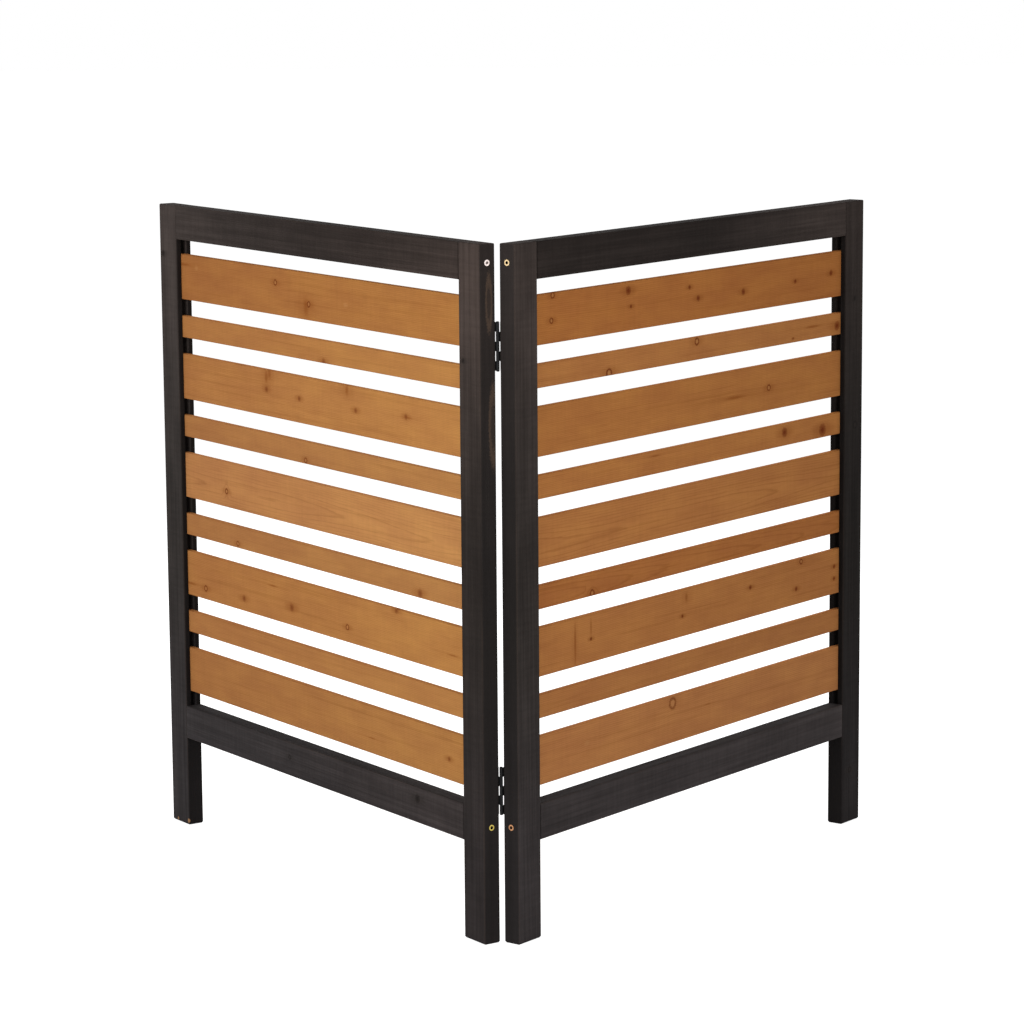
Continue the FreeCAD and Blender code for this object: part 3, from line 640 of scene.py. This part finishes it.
def new_material(name):
    """A material with a Principled BSDF, its graph and that shader."""
    material = bpy.data.materials.new(name)
    graph = emptied(material)
    shader = graph.add("ShaderNodeBsdfPrincipled")
    graph.add("ShaderNodeOutputMaterial", {"Surface": shader.outputs[0]})
    return material, graph, shader


def dress(node, material):
    """Give a CAD node's object one material."""
    data = NODES[node].data
    data.materials.clear()
    data.materials.append(material)


def board_marks(graph, place, low, high, ends, marks):
    """The marks of one board, as (look, outputs) pairs."""
    made = []
    for mark in marks:
        look = MARK_LOOKS[mark.kind]
        along = ends[0] + mark.along * (ends[1] - ends[0])
        depth = low.y + mark.depth * (high.y - low.y)
        centre = Vector((along, depth, low.z + mark.up * (high.z - low.z)))
        reach = Vector((look.along, look.deep, look.up)) * mark.radius * MM
        made.append((look, graph.group(mark_group(), Place=place, Centre=centre, Reach=reach)))
    return made


def summed_bend(graph, made):
    total = 0.0
    for look, outputs in made:
        total = graph.math("MULTIPLY_ADD", outputs["Bend"], look.bend, total)
    return total


def marked(graph, colour, made, tones):
    """A colour with the stain around each mark, its core and its rim laid over it."""
    for look, outputs in made:
        layers = (
            ("Halo", look.halo, tones["halo"]),
            ("Core", look.core, tones[look.heart]),
            ("Rim", look.rim, tones[look.tone]),
        )
        for output, strength, tone in layers:
            colour = graph.mix(graph.product(outputs[output], strength), colour, rgba(tone))
    return colour


def edge_mask(graph, place, low, high, axis, band):
    """1 at a board's two edges along one axis, falling to 0 over a band."""
    off_middle = graph.math("SUBTRACT", graph.parts(place)[axis], (low[axis] + high[axis]) / 2)
    half = (high[axis] - low[axis]) / 2
    return graph.ramp(graph.math("ABSOLUTE", off_middle), half - band, half)


def unevenness(graph, timber, look, tone):
    """Lightness of a board with the blotches of its stain and the planer's marks, times a given lightness
    that carries painted light and shade for the slats' falloff and the frame's tones.
    """
    blotches = graph.ramp(timber["Blotches"], *BLOTCH_RANGE, *look.blotches)
    mill = graph.ramp(timber["Mill"], *MILL_RANGE, *look.mill)
    return graph.product(blotches, mill, tone)


def finish_wood(graph, shader, timber, colour, look, normal=None):
    """Give a wood's shader its colour, its roughness and the relief of its grain."""
    ridges = graph.math("MULTIPLY_ADD", timber["Rings"], look.ridges, timber["Fibre"])
    graph.fill(shader, {
        "Base Color": colour,
        "Roughness": graph.ramp(timber["Streaks"], *STREAK_RANGE, *look.roughness),
        "Specular IOR Level": look.gloss,
        "Normal": graph.bump(ridges, look.height, look.relief, normal),
    })


def slat_pith(panel, number, low, high):
    """Where the log's heart was: close behind an arched slat, far above or below another."""
    # A count that differs from slat to slat, so that neighbours aren't sawn alike.
    turn = number * 7 + SIDES.index(panel.side) * 4
    middle = (low.z + high.z) / 2
    if f"{panel.side}_slat_{number}" in ARCHED_SLATS:
        below = 6 * MM
        behind = (30 + 4 * (turn % 3)) * MM
        return Vector((0.0, behind, middle - below))
    away = (75 + 12 * (turn % 5)) * MM
    behind = (20 + 8 * (turn % 4)) * MM
    return Vector((0.0, behind, middle + (away if turn % 2 else -away)))


def slat_material(panel, number, finish):
    """Orange-brown board with low-contrast grain and knots."""
    node = f"{panel.side}_slat_{number}"
    material, graph, shader = new_material(f"{node}_stain")
    low, high = panel.span(node)
    place = panel.axes(graph)
    marks = board_marks(graph, place, low, high, panel.clear, SLAT_MARKS.get(node, ()))
    late_start, late_strength = ARCHED_RINGS if node in ARCHED_SLATS else STRAIGHT_RINGS
    timber = graph.group(
        timber_group(), Grain=place, Pith=slat_pith(panel, number, low, high),
        Ring_Width=finish.ring_width, Taper=ARCHED_SLATS.get(node, STRAIGHT_TAPER),
        Wander=SLAT_LOOK.wander, Bend=summed_bend(graph, marks), Late=late_start)
    dark = rgba(finish.dark)
    colour = graph.mix(graph.product(timber["Rings"], late_strength), rgba(finish.light), dark)
    colour = graph.mix(graph.ramp(timber["Streaks"], *SLAT_LOOK.streaks), colour, dark)
    colour = graph.mix(graph.ramp(timber["Fibre"], *SLAT_LOOK.fibre), colour, dark)
    lightness, saturation = SLAT_TONES[panel.side][number - 1]
    light_falloff, inner_hue, outer_hue = SLAT_FALLOFFS_AND_HUES[panel.side]
    redder = REDDER_SLATS.get(node, 0.0)
    along = graph.parts(place)["X"]
    # Painted light falloff: the slats are painted darker towards the outer post.
    lit_lightness = graph.ramp(along, *panel.clear, lightness * (1 + light_falloff), lightness * (1 - light_falloff))
    hue = graph.math(
        "ADD",
        graph.ramp(along, *panel.clear, inner_hue + redder, outer_hue + redder),
        graph.ramp(timber["Blotches"], *BLOTCH_RANGE, -HUE_SWING, HUE_SWING))
    colour = graph.toned(colour, unevenness(graph, timber, SLAT_LOOK, lit_lightness), saturation, hue)
    tones = {"knot": finish.knot, "smear": finish.smear, "pale": finish.pale, "halo": finish.smear}
    colour = marked(graph, colour, marks, tones)
    edge = graph.product(edge_mask(graph, place, low, high, UP, finish.edge_band), EDGE_STAIN)
    colour = graph.mix(edge, colour, rgba(finish.smear))
    finish_wood(graph, shader, timber, colour, SLAT_LOOK)
    return material


def board_tone(graph, place, low, high, tones):
    """Lightness along a board that goes smoothly from its start through its middle to its end."""
    start, middle, end = tones
    half_way = (low + high) / 2
    first_half = graph.ramp(place, low, half_way, start, middle)
    second_half = graph.ramp(place, half_way, high, 0.0, end - middle)
    return graph.math("ADD", first_half, second_half)


def eased_normals(graph, arris):
    """Normals rounded off near a board's edges, in the world's and in the board's own axes."""
    bevel_samples = 4
    eased = graph.add("ShaderNodeBevel", {"Radius": arris}, samples=bevel_samples).outputs[0]
    facing = graph.add(
        "ShaderNodeVectorTransform", {"Vector": eased},
        vector_type="NORMAL", convert_from="WORLD", convert_to="OBJECT").outputs[0]
    return eased, facing


def frame_pith(panel, piece, middle):
    """Where a post's or rail's log had its heart, and how its rings widen along the board."""
    turn = len(piece) * 3 + SIDES.index(panel.side) * 5
    behind = (14 + 7 * (turn % 4)) * MM
    aside = 12 * (turn % 5 - 2) * MM
    taper = 0.004 + 0.003 * (turn % 3)
    return Vector((0.0, behind, middle + aside)), taper


def frame_material(panel, piece, finish):
    """Charcoal stain over coarse grain that runs up the posts and along the rails, with painted light and
    shade: along each board, by height, and on faces that look up or towards the pin.
    """
    node = f"{panel.side}_{piece}"
    upright = piece.endswith("post")
    material, graph, shader = new_material(f"{node}_stain")
    low, high = panel.span(node)
    place = panel.axes(graph)
    marks = board_marks(graph, place, low, high, (low.x, high.x), FRAME_MARKS.get(node, ()))
    axes = graph.parts(place)
    grain = place
    cross_axis, long_axis = UP, ALONG
    if upright:
        grain = graph.joined(axes["Z"], axes["Y"], axes["X"])
        cross_axis, long_axis = ALONG, UP
    pith, taper = frame_pith(panel, piece, (low[cross_axis] + high[cross_axis]) / 2)
    late_start, late_strength = FRAME_RINGS
    timber = graph.group(
        timber_group(), Grain=grain, Pith=pith, Ring_Width=finish.ring_width, Taper=taper,
        Wander=FRAME_LOOK.wander, Bend=summed_bend(graph, marks), Late=late_start)
    dark, light = rgba(finish.dark), rgba(finish.light)
    colour = graph.mix(graph.ramp(timber["Streaks"], *FRAME_LOOK.streaks), dark, light)
    colour = graph.mix(graph.product(timber["Rings"], late_strength), colour, dark)
    colour = graph.mix(graph.ramp(timber["Fibre"], *FRAME_LOOK.fibre), colour, light)
    # Painted light and shade along the board, over its stain's own tone.
    tone = board_tone(graph, axes[long_axis], low[long_axis], high[long_axis], FRAME_LIGHT_AND_TONES[node])
    saturation = graph.ramp(axes["X"], *panel.clear, *FRAME_SATURATIONS[panel.side])
    colour = graph.toned(colour, unevenness(graph, timber, FRAME_LOOK, tone), saturation)
    # Painted light by height: a colder floor bounce at the foot and a warmer light from above at the top.
    floor_bounce_share = graph.ramp(axes["Z"], *FLOOR_BOUNCE_SPAN, 1.0, 0.0)
    top_light_share = graph.ramp(axes["Z"], *TOP_LIGHT_SPAN)
    colour = graph.mix(floor_bounce_share, colour, rgba(finish.painted_floor_bounce), "MULTIPLY")
    colour = graph.mix(top_light_share, colour, rgba(finish.painted_top_light), "MULTIPLY")
    arris = graph.product(
        edge_mask(graph, place, low, high, cross_axis, finish.edge_band),
        edge_mask(graph, place, low, high, DEEP, finish.edge_band))
    rubbed = graph.product(arris, graph.ramp(timber["Streaks"], *RUBBED))
    colour = graph.mix(rubbed, colour, rgba(finish.bare))
    eased, facing = eased_normals(graph, finish.arris)
    # Painted shade on faces that look up.
    shade = graph.ramp(graph.parts(facing)["Z"], *UPWARD, 1.0, finish.painted_top_shade)
    if upright:
        # Painted shade on the post's face towards the pin: a darker colour laid over it, and a lower
        # lightness.
        to_pin = graph.vector("DOT_PRODUCT", facing, -panel.along, "Value")
        stained = graph.ramp(to_pin, *PINWARD, 0.0, PIN_SIDE_SHADE_SHARE)
        colour = graph.mix(stained, colour, rgba(finish.pin_side_shade))
        painted_side_shade = board_tone(graph, axes["Z"], low.z, high.z, PIN_SIDE_PAINTED_SHADES[node])
        shade = graph.ramp(to_pin, *PINWARD, shade, painted_side_shade)
    tones = {
        "knot": finish.knot, "pale": finish.dark, "bare": finish.bare, "chip": finish.chip,
        "halo": finish.dark,
    }
    colour = marked(graph, graph.toned(colour, shade), marks, tones)
    finish_wood(graph, shader, timber, colour, FRAME_LOOK, eased)
    return material


def hinge_material(finish):
    """Black paint, a little uneven, rubbed to steel in specks."""
    rubbed_through = (0.70, 0.78, 0.0, 0.5)
    roughness = (0.40, 0.58)
    gloss = 0.13
    dimples, relief = 0.08 * MM, 0.3
    material, graph, shader = new_material("hinge_paint")
    rub = graph.group(rub_group(), Place=graph.place())
    worn = graph.ramp(rub["Patches"], *rubbed_through)
    graph.fill(shader, {
        "Base Color": graph.mix(worn, rgba(finish.hinge), rgba(finish.steel)),
        "Metallic": worn,
        "Roughness": graph.ramp(rub["Mottle"], *FINE_RANGE, *roughness),
        "Specular IOR Level": gloss,
        "Normal": graph.bump(rub["Mottle"], dimples, relief),
    })
    return material


def zinc_material(panel, finish):
    """Passivated zinc with fine turning marks, its cast its own in each screw, with painted shade in the
    sockets and a painted shadow round the rims of the heads.
    """
    patchy = (0.35, 0.65, 0.88, 1.08)
    roughness, recess_shade_roughness = (0.24, 0.42), 0.4
    scratches, relief = 0.04 * MM, 0.25
    material, graph, shader = new_material(f"{panel.side}_passivated_zinc")
    place = panel.axes(graph)
    rub = graph.group(rub_group(), Place=place)
    lower, upper = SCREW_CASTS[panel.side]
    half_way = (CAD_BOX[0][UP] + CAD_BOX[1][UP]) / 2
    above = graph.math("GREATER_THAN", graph.parts(place)["Z"], half_way)
    colour = graph.mix(above, rgba(getattr(finish, lower)), rgba(getattr(finish, upper)))
    colour = graph.toned(colour, graph.ramp(rub["Patches"], *patchy))
    off_top, off_bottom = (
        graph.off_axis(place, sum(panel.span(f"{panel.side}_{rail}"), Vector()) / 2)
        for rail in ("top_rail", "bottom_rail"))
    nearest = graph.math("MINIMUM", off_top, off_bottom)
    # Painted shade in the sockets and a painted shadow round the rims of the heads.
    socket = graph.product(
        graph.ramp(nearest, finish.socket_shade_radius, finish.socket_shade_radius * SOCKET_BORDER, 1.0, 0.0),
        graph.ramp(above, 0.0, 1.0, *SOCKET_PAINTED_SHADE[panel.side]))
    rim = graph.ramp(nearest, finish.rim_radius, finish.rim_radius * RIM_BORDER, 0.0, RIM_PAINTED_SHADE)
    recess_shade = graph.math("MAXIMUM", socket, rim)
    clean = graph.ramp(rub["Scratches"], *FINE_RANGE, *roughness)
    graph.fill(shader, {
        "Base Color": graph.mix(recess_shade, colour, rgba(finish.hinge)),
        "Metallic": 1.0,
        "Roughness": graph.math("MULTIPLY_ADD", recess_shade, recess_shade_roughness, clean),
        "Normal": graph.bump(rub["Scratches"], scratches, relief),
    })
    return material


def steel_material(finish):
    """Drawn steel wire of the brads."""
    dulled = (0.35, 0.70, 0.0, 0.5)
    roughness = (0.30, 0.48)
    material, graph, shader = new_material("brad_wire")
    rub = graph.group(rub_group(), Place=graph.place())
    dull = graph.ramp(rub["Patches"], *dulled)
    graph.fill(shader, {
        "Base Color": graph.mix(dull, rgba(finish.steel), rgba(finish.hinge)),
        "Metallic": 1.0,
        "Roughness": graph.ramp(rub["Scratches"], *FINE_RANGE, *roughness),
    })
    return material


def dowel_material(panel, finish):
    """Bare beech with fine fibre along the dowels."""
    pith = Vector((0.0, 0.02, 0.5))
    ring_width, wander, late_start = 1.8 * MM, 0.004, 0.45
    lightness, roughness = (0.82, 1.08), (0.62, 0.75)
    material, graph, shader = new_material(f"{panel.side}_dowel_beech")
    timber = graph.group(
        timber_group(), Grain=panel.axes(graph), Pith=pith, Ring_Width=ring_width,
        Taper=0.0, Wander=wander, Bend=0.0, Late=late_start)
    fibre = graph.ramp(timber["Fibre"], *FINE_RANGE, *lightness)
    graph.fill(shader, {
        "Base Color": graph.toned(rgba(finish.beech), fibre),
        "Roughness": graph.ramp(timber["Streaks"], *STREAK_RANGE, *roughness),
    })
    return material


def solids_of(node):
    """The separate solids of a CAD node, each as a list of points in the row frame."""
    mesh = bmesh.new()
    mesh.from_mesh(NODES[node].data)
    bmesh.ops.remove_doubles(mesh, verts=mesh.verts, dist=WELD)
    seen = set()
    solids = []
    for start in mesh.verts:
        if start in seen:
            continue
        seen.add(start)
        reached = [start]
        for vertex in reached:
            for edge in vertex.link_edges:
                other = edge.other_vert(vertex)
                if other not in seen:
                    seen.add(other)
                    reached.append(other)
        solids.append([vertex.co.copy() for vertex in reached])
    mesh.free()
    return solids


class ScrewShape:
    """Countersunk wood screw with a cross recess and a thread, drawn along +Y from its head's face."""

    segments = 48
    head_steps = 14
    thread_steps = 6
    arm_share = 0.66
    arm_width_share = 0.15
    recess_share = 0.36
    thread_pitch_share = 0.55
    thread_depth_share = 0.22
    crest_share = 0.5
    point_share = 0.2
    point_overrun = 1.02
    arm_fade = (0.7, 1.2)
    end_fade = (0.85, 1.05)
    recess_slope = 0.45

    def __init__(self, head, shank, neck, length):
        self.head = head
        self.shank = shank
        self.neck = neck
        self.length = length

    @staticmethod
    def eased(value, low, high):
        share = min(max((value - low) / (high - low), 0.0), 1.0)
        return share * share * (3.0 - 2.0 * share)

    def recess(self, across, up):
        """Depth of the cross recess at a point of the head."""
        width = self.arm_width_share * self.head
        reach = self.arm_share * self.head
        narrow = min(abs(across), abs(up))
        far = math.hypot(across, up)
        inside = 1.0 - self.eased(narrow / width, *self.arm_fade)
        inside *= 1.0 - self.eased(far / reach, *self.end_fade)
        return self.recess_share * self.head * inside * (1.0 - self.recess_slope * far / reach)

    def rings(self):
        """Rings of (depth, radius) pairs, one pair for each segment, from the head's middle to the tip."""
        turns = [2.0 * math.pi * step / self.segments for step in range(self.segments)]
        for step in range(1, self.head_steps + 1):
            radius = self.head * step / self.head_steps
            yield [(self.recess(radius * math.cos(t), radius * math.sin(t)), radius) for t in turns]
        pitch = self.thread_pitch_share * self.shank * 2.0
        root = self.shank * (1.0 - self.thread_depth_share)
        shoulder = self.length * (1.0 - self.point_share)
        depth = self.neck
        yield [(depth, self.shank) for turn in turns]
        while depth < self.length - pitch / self.thread_steps:
            depth += pitch / self.thread_steps
            taper = 1.0 - self.eased(depth, shoulder, self.length * self.point_overrun)
            ring = []
            for turn in turns:
                phase = (depth / pitch - turn / (2.0 * math.pi)) % 1.0
                crest = 1.0 - min(abs(phase - 0.5) * 2.0 / self.crest_share, 1.0)
                ring.append((depth, (root + (self.shank - root) * crest) * taper))
            yield ring

    def build(self, mesh, place):
        """Add one screw to a bmesh, carried to its place."""
        middle = mesh.verts.new(place @ Vector((0.0, self.recess(0.0, 0.0), 0.0)))
        before = None
        for ring in self.rings():
            loop = []
            for step, (depth, radius) in enumerate(ring):
                turn = 2.0 * math.pi * step / self.segments
                point = Vector((radius * math.cos(turn), depth, radius * math.sin(turn)))
                loop.append(mesh.verts.new(place @ point))
            for step in range(self.segments):
                after = (step + 1) % self.segments
                if before is None:
                    mesh.faces.new((middle, loop[step], loop[after]))
                else:
                    mesh.faces.new((before[step], loop[step], loop[after], before[after]))
            before = loop
        tip = mesh.verts.new(place @ Vector((0.0, self.length, 0.0)))
        for step in range(self.segments):
            mesh.faces.new((before[step], tip, before[(step + 1) % self.segments]))


def placed(name, data):
    """A new object in the scene."""
    thing = bpy.data.objects.new(name, data)
    bpy.context.scene.collection.objects.link(thing)
    return thing


def new_piece(name, mesh, material, body):
    """A mesh object of the screen that rides on a body."""
    data = bpy.data.meshes.new(name)
    bmesh.ops.recalc_face_normals(mesh, faces=mesh.faces)
    mesh.to_mesh(data)
    mesh.free()
    data.materials.append(material)
    piece = placed(name, data)
    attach(piece, body)
    return piece


class SCREEN_OT_stain_slats(bpy.types.Operator):
    """Give each slat its own orange-brown grain and knots"""

    bl_idname = "screen_kit.stain_slats"
    bl_label = "Stain slats"

    def execute(self, context):
        for panel in PANELS:
            for number in range(1, SLATS + 1):
                material = slat_material(panel, number, context.scene.screen_slats)
                dress(f"{panel.side}_slat_{number}", material)
        return {"FINISHED"}


class SCREEN_OT_stain_frame(bpy.types.Operator):
    """Stain the posts and rails charcoal, with the grain along each board"""

    bl_idname = "screen_kit.stain_frame"
    bl_label = "Stain posts and rails"

    def execute(self, context):
        for panel in PANELS:
            for piece in ("outer_post", "inner_post", "top_rail", "bottom_rail"):
                material = frame_material(panel, piece, context.scene.screen_frame)
                dress(f"{panel.side}_{piece}", material)
        return {"FINISHED"}


class SCREEN_OT_paint_hinges(bpy.types.Operator):
    """Paint the hinge leaves and pins black"""

    bl_idname = "screen_kit.paint_hinges"
    bl_label = "Paint hinges"

    def execute(self, context):
        material = hinge_material(context.scene.screen_metal)
        for hinge in ("upper", "lower"):
            for side in SIDES:
                dress(f"{hinge}_hinge_{side}_leaf", material)
            dress(f"{hinge}_hinge_pin", material)
        return {"FINISHED"}


class SCREEN_OT_drive_hinge_screws(bpy.types.Operator):
    """Put cross-recessed screws in the hinge leaves"""

    bl_idname = "screen_kit.drive_hinge_screws"
    bl_label = "Drive hinge screws"

    face_skin = 0.1 * MM
    tip_radius = 0.5 * MM
    spin_step = 1.1

    def execute(self, context):
        material = bpy.data.materials["hinge_paint"]
        for panel in PANELS:
            side = panel.side
            node = f"{side}_hinge_screws"
            mesh = bmesh.new()
            for number, points in enumerate(solids_of(node)):
                self.drive(mesh, panel, number, points)
            piece = new_piece(f"{side}_cross_screws", mesh, material, f"{side}_panel")
            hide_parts(node)
        return {"FINISHED"}

    def drive(self, mesh, panel, number, points):
        """One screw where a CAD screw sits, with its recess at its own angle."""
        places = [panel.place(point) for point in points]
        axis = sum(corners(places), Vector()) / 2
        into_wood = 1.0 if panel.side == "left" else -1.0
        depths = [place.y * into_wood for place in places]
        radii = [math.hypot(place.x - axis.x, place.z - axis.z) for place in places]
        face = min(depths)
        below_head = [
            (depth, radius) for depth, radius in zip(depths, radii)
            if depth > face + self.face_skin and radius > self.tip_radius]
        shank = max(radius for depth, radius in below_head)
        neck = min(depth for depth, radius in below_head) - face
        base = panel.row_place(Vector((axis.x, face * into_wood, axis.z)))
        inwards = panel.across * into_wood
        up = Vector((0.0, 0.0, 1.0))
        turned = Matrix((inwards.cross(up), inwards, up)).transposed().to_4x4()
        spin = Matrix.Rotation(number * self.spin_step, 4, "Y")
        screw = ScrewShape(max(radii), shank, neck, max(depths) - face)
        screw.build(mesh, Matrix.Translation(base) @ turned @ spin)


class SCREEN_OT_finish_fixings(bpy.types.Operator):
    """Finish the socket screws, dowels and brads"""

    bl_idname = "screen_kit.finish_fixings"
    bl_label = "Finish fixings"

    def execute(self, context):
        finish = context.scene.screen_metal
        steel = steel_material(finish)
        for panel in PANELS:
            dress(f"{panel.side}_rail_screws", zinc_material(panel, finish))
            dress(f"{panel.side}_slat_brads", steel)
            dress(f"{panel.side}_dowels", dowel_material(panel, finish))
        return {"FINISHED"}


class SCREEN_OT_set_stage(bpy.types.Operator):
    """Set the floor, the even light, three softboxes and the camera"""

    bl_idname = "screen_kit.set_stage"
    bl_label = "Set stage"

    floor_reach = 30.0
    floor_grey = (0.62, 0.62, 0.62)
    lamp_aside = 1.9
    lamp_ahead = 2.3
    lamp_behind = 2.5
    lamp_height = 1.5
    back_lamp_height = 2.7
    lamp_size = 2.4
    lamp_aim = Vector((0.0, -0.1, 0.55))
    sensor_width = 36.0
    sight = 100.0

    def execute(self, context):
        settings = context.scene.screen_stage
        self.lay_floor(settings)
        self.light_sky(context, settings)
        left_place = (-self.lamp_aside, -self.lamp_ahead, self.lamp_height)
        right_place = (self.lamp_aside, -self.lamp_ahead, self.lamp_height)
        back_place = (0.0, self.lamp_behind, self.back_lamp_height)
        self.hang_lamp("left_softbox", left_place, settings.left_lamp)
        self.hang_lamp("right_softbox", right_place, settings.right_lamp)
        back = self.hang_lamp("back_softbox", back_place, settings.back_lamp)
        back.visible_glossy = False
        self.set_camera(context, settings)
        context.scene.view_settings.view_transform = "Standard"
        return {"FINISHED"}

    def seen(self, graph):
        """1 where the camera sees a surface, straight or by gloss or glass."""
        rays = graph.add("ShaderNodeLightPath").outputs
        direct = graph.math("MAXIMUM", rays["Is Camera Ray"], rays["Is Glossy Ray"])
        return graph.math("MAXIMUM", direct, rays["Is Transmission Ray"])

    def lay_floor(self, settings):
        reach = self.floor_reach
        data = bpy.data.meshes.new("floor")
        square = [(-reach, -reach, 0), (reach, -reach, 0), (reach, reach, 0), (-reach, reach, 0)]
        data.from_pydata(square, [], [(0, 1, 2, 3)])
        floor = placed("floor", data)
        material = bpy.data.materials.new("floor_white")
        graph = emptied(material)
        paint = graph.add("ShaderNodeBsdfDiffuse", {"Color": rgba(self.floor_grey)})
        brightness = graph.product(self.seen(graph), settings.floor_glow)
        glow = graph.add("ShaderNodeEmission", {"Strength": brightness})
        both = graph.add("ShaderNodeAddShader", {0: paint.outputs[0], 1: glow.outputs[0]})
        graph.add("ShaderNodeOutputMaterial", {"Surface": both.outputs[0]})
        data.materials.append(material)

    def light_sky(self, context, settings):
        world = bpy.data.worlds.new("studio")
        context.scene.world = world
        graph = emptied(world)
        values = {"Value": self.seen(graph), "To Min": settings.sky, "To Max": 1.0}
        strength = graph.add("ShaderNodeMapRange", values).outputs[0]
        light = graph.add("ShaderNodeBackground", {"Color": rgba((1.0, 1.0, 1.0)), "Strength": strength})
        graph.add("ShaderNodeOutputWorld", {"Surface": light.outputs[0]})

    def hang_lamp(self, name, place, power):
        data = bpy.data.lights.new(name, "AREA")
        data.energy = power
        data.size = self.lamp_size
        lamp = placed(name, data)
        lamp.visible_camera = False
        lamp.location = place
        aim = self.lamp_aim - lamp.location
        lamp.rotation_euler = aim.to_track_quat("-Z", "Y").to_euler()
        return lamp

    def set_camera(self, context, settings):
        data = bpy.data.cameras.new("photo_camera")
        data.lens = settings.lens
        data.sensor_width = self.sensor_width
        data.clip_end = self.sight
        camera = placed("photo_camera", data)
        level = Matrix.Rotation(settings.camera_pan, 4, "Z") @ Matrix.Rotation(math.pi / 2, 4, "X")
        tilted = level @ Matrix.Rotation(-settings.camera_tilt, 4, "X")
        rolled = tilted @ Matrix.Rotation(settings.camera_roll, 4, "Z")
        camera.matrix_world = Matrix.Translation(settings.camera_place) @ rolled
        context.scene.camera = camera


class SCREEN_PT_kit(bpy.types.Panel):
    """The steps that dress the folding screen"""

    bl_label = "Folding screen"
    bl_idname = "SCREEN_PT_kit"
    bl_space_type = "VIEW_3D"
    bl_region_type = "UI"
    bl_category = "Screen"

    def draw(self, context):
        for operator in STEPS:
            self.layout.operator(operator.bl_idname)


STEPS = (
    SCREEN_OT_stain_slats,
    SCREEN_OT_stain_frame,
    SCREEN_OT_paint_hinges,
    SCREEN_OT_drive_hinge_screws,
    SCREEN_OT_finish_fixings,
    SCREEN_OT_set_stage,
)
SETTINGS = {
    "screen_slats": SlatFinish,
    "screen_frame": FrameFinish,
    "screen_metal": MetalFinish,
    "screen_stage": StageSettings,
}


def register():
    for kind in (*SETTINGS.values(), *STEPS, SCREEN_PT_kit):
        bpy.utils.register_class(kind)
    for name, kind in SETTINGS.items():
        setattr(bpy.types.Scene, name, PointerProperty(type=kind))


def unregister():
    for name in SETTINGS:
        delattr(bpy.types.Scene, name)
    for kind in reversed((*SETTINGS.values(), *STEPS, SCREEN_PT_kit)):
        bpy.utils.unregister_class(kind)


def main():
    register()
    bpy.ops.screen_kit.stain_slats()
    bpy.ops.screen_kit.stain_frame()
    bpy.ops.screen_kit.paint_hinges()
    bpy.ops.screen_kit.drive_hinge_screws()
    bpy.ops.screen_kit.finish_fixings()
    bpy.ops.screen_kit.set_stage()


if __name__ == "__main__":
    main()
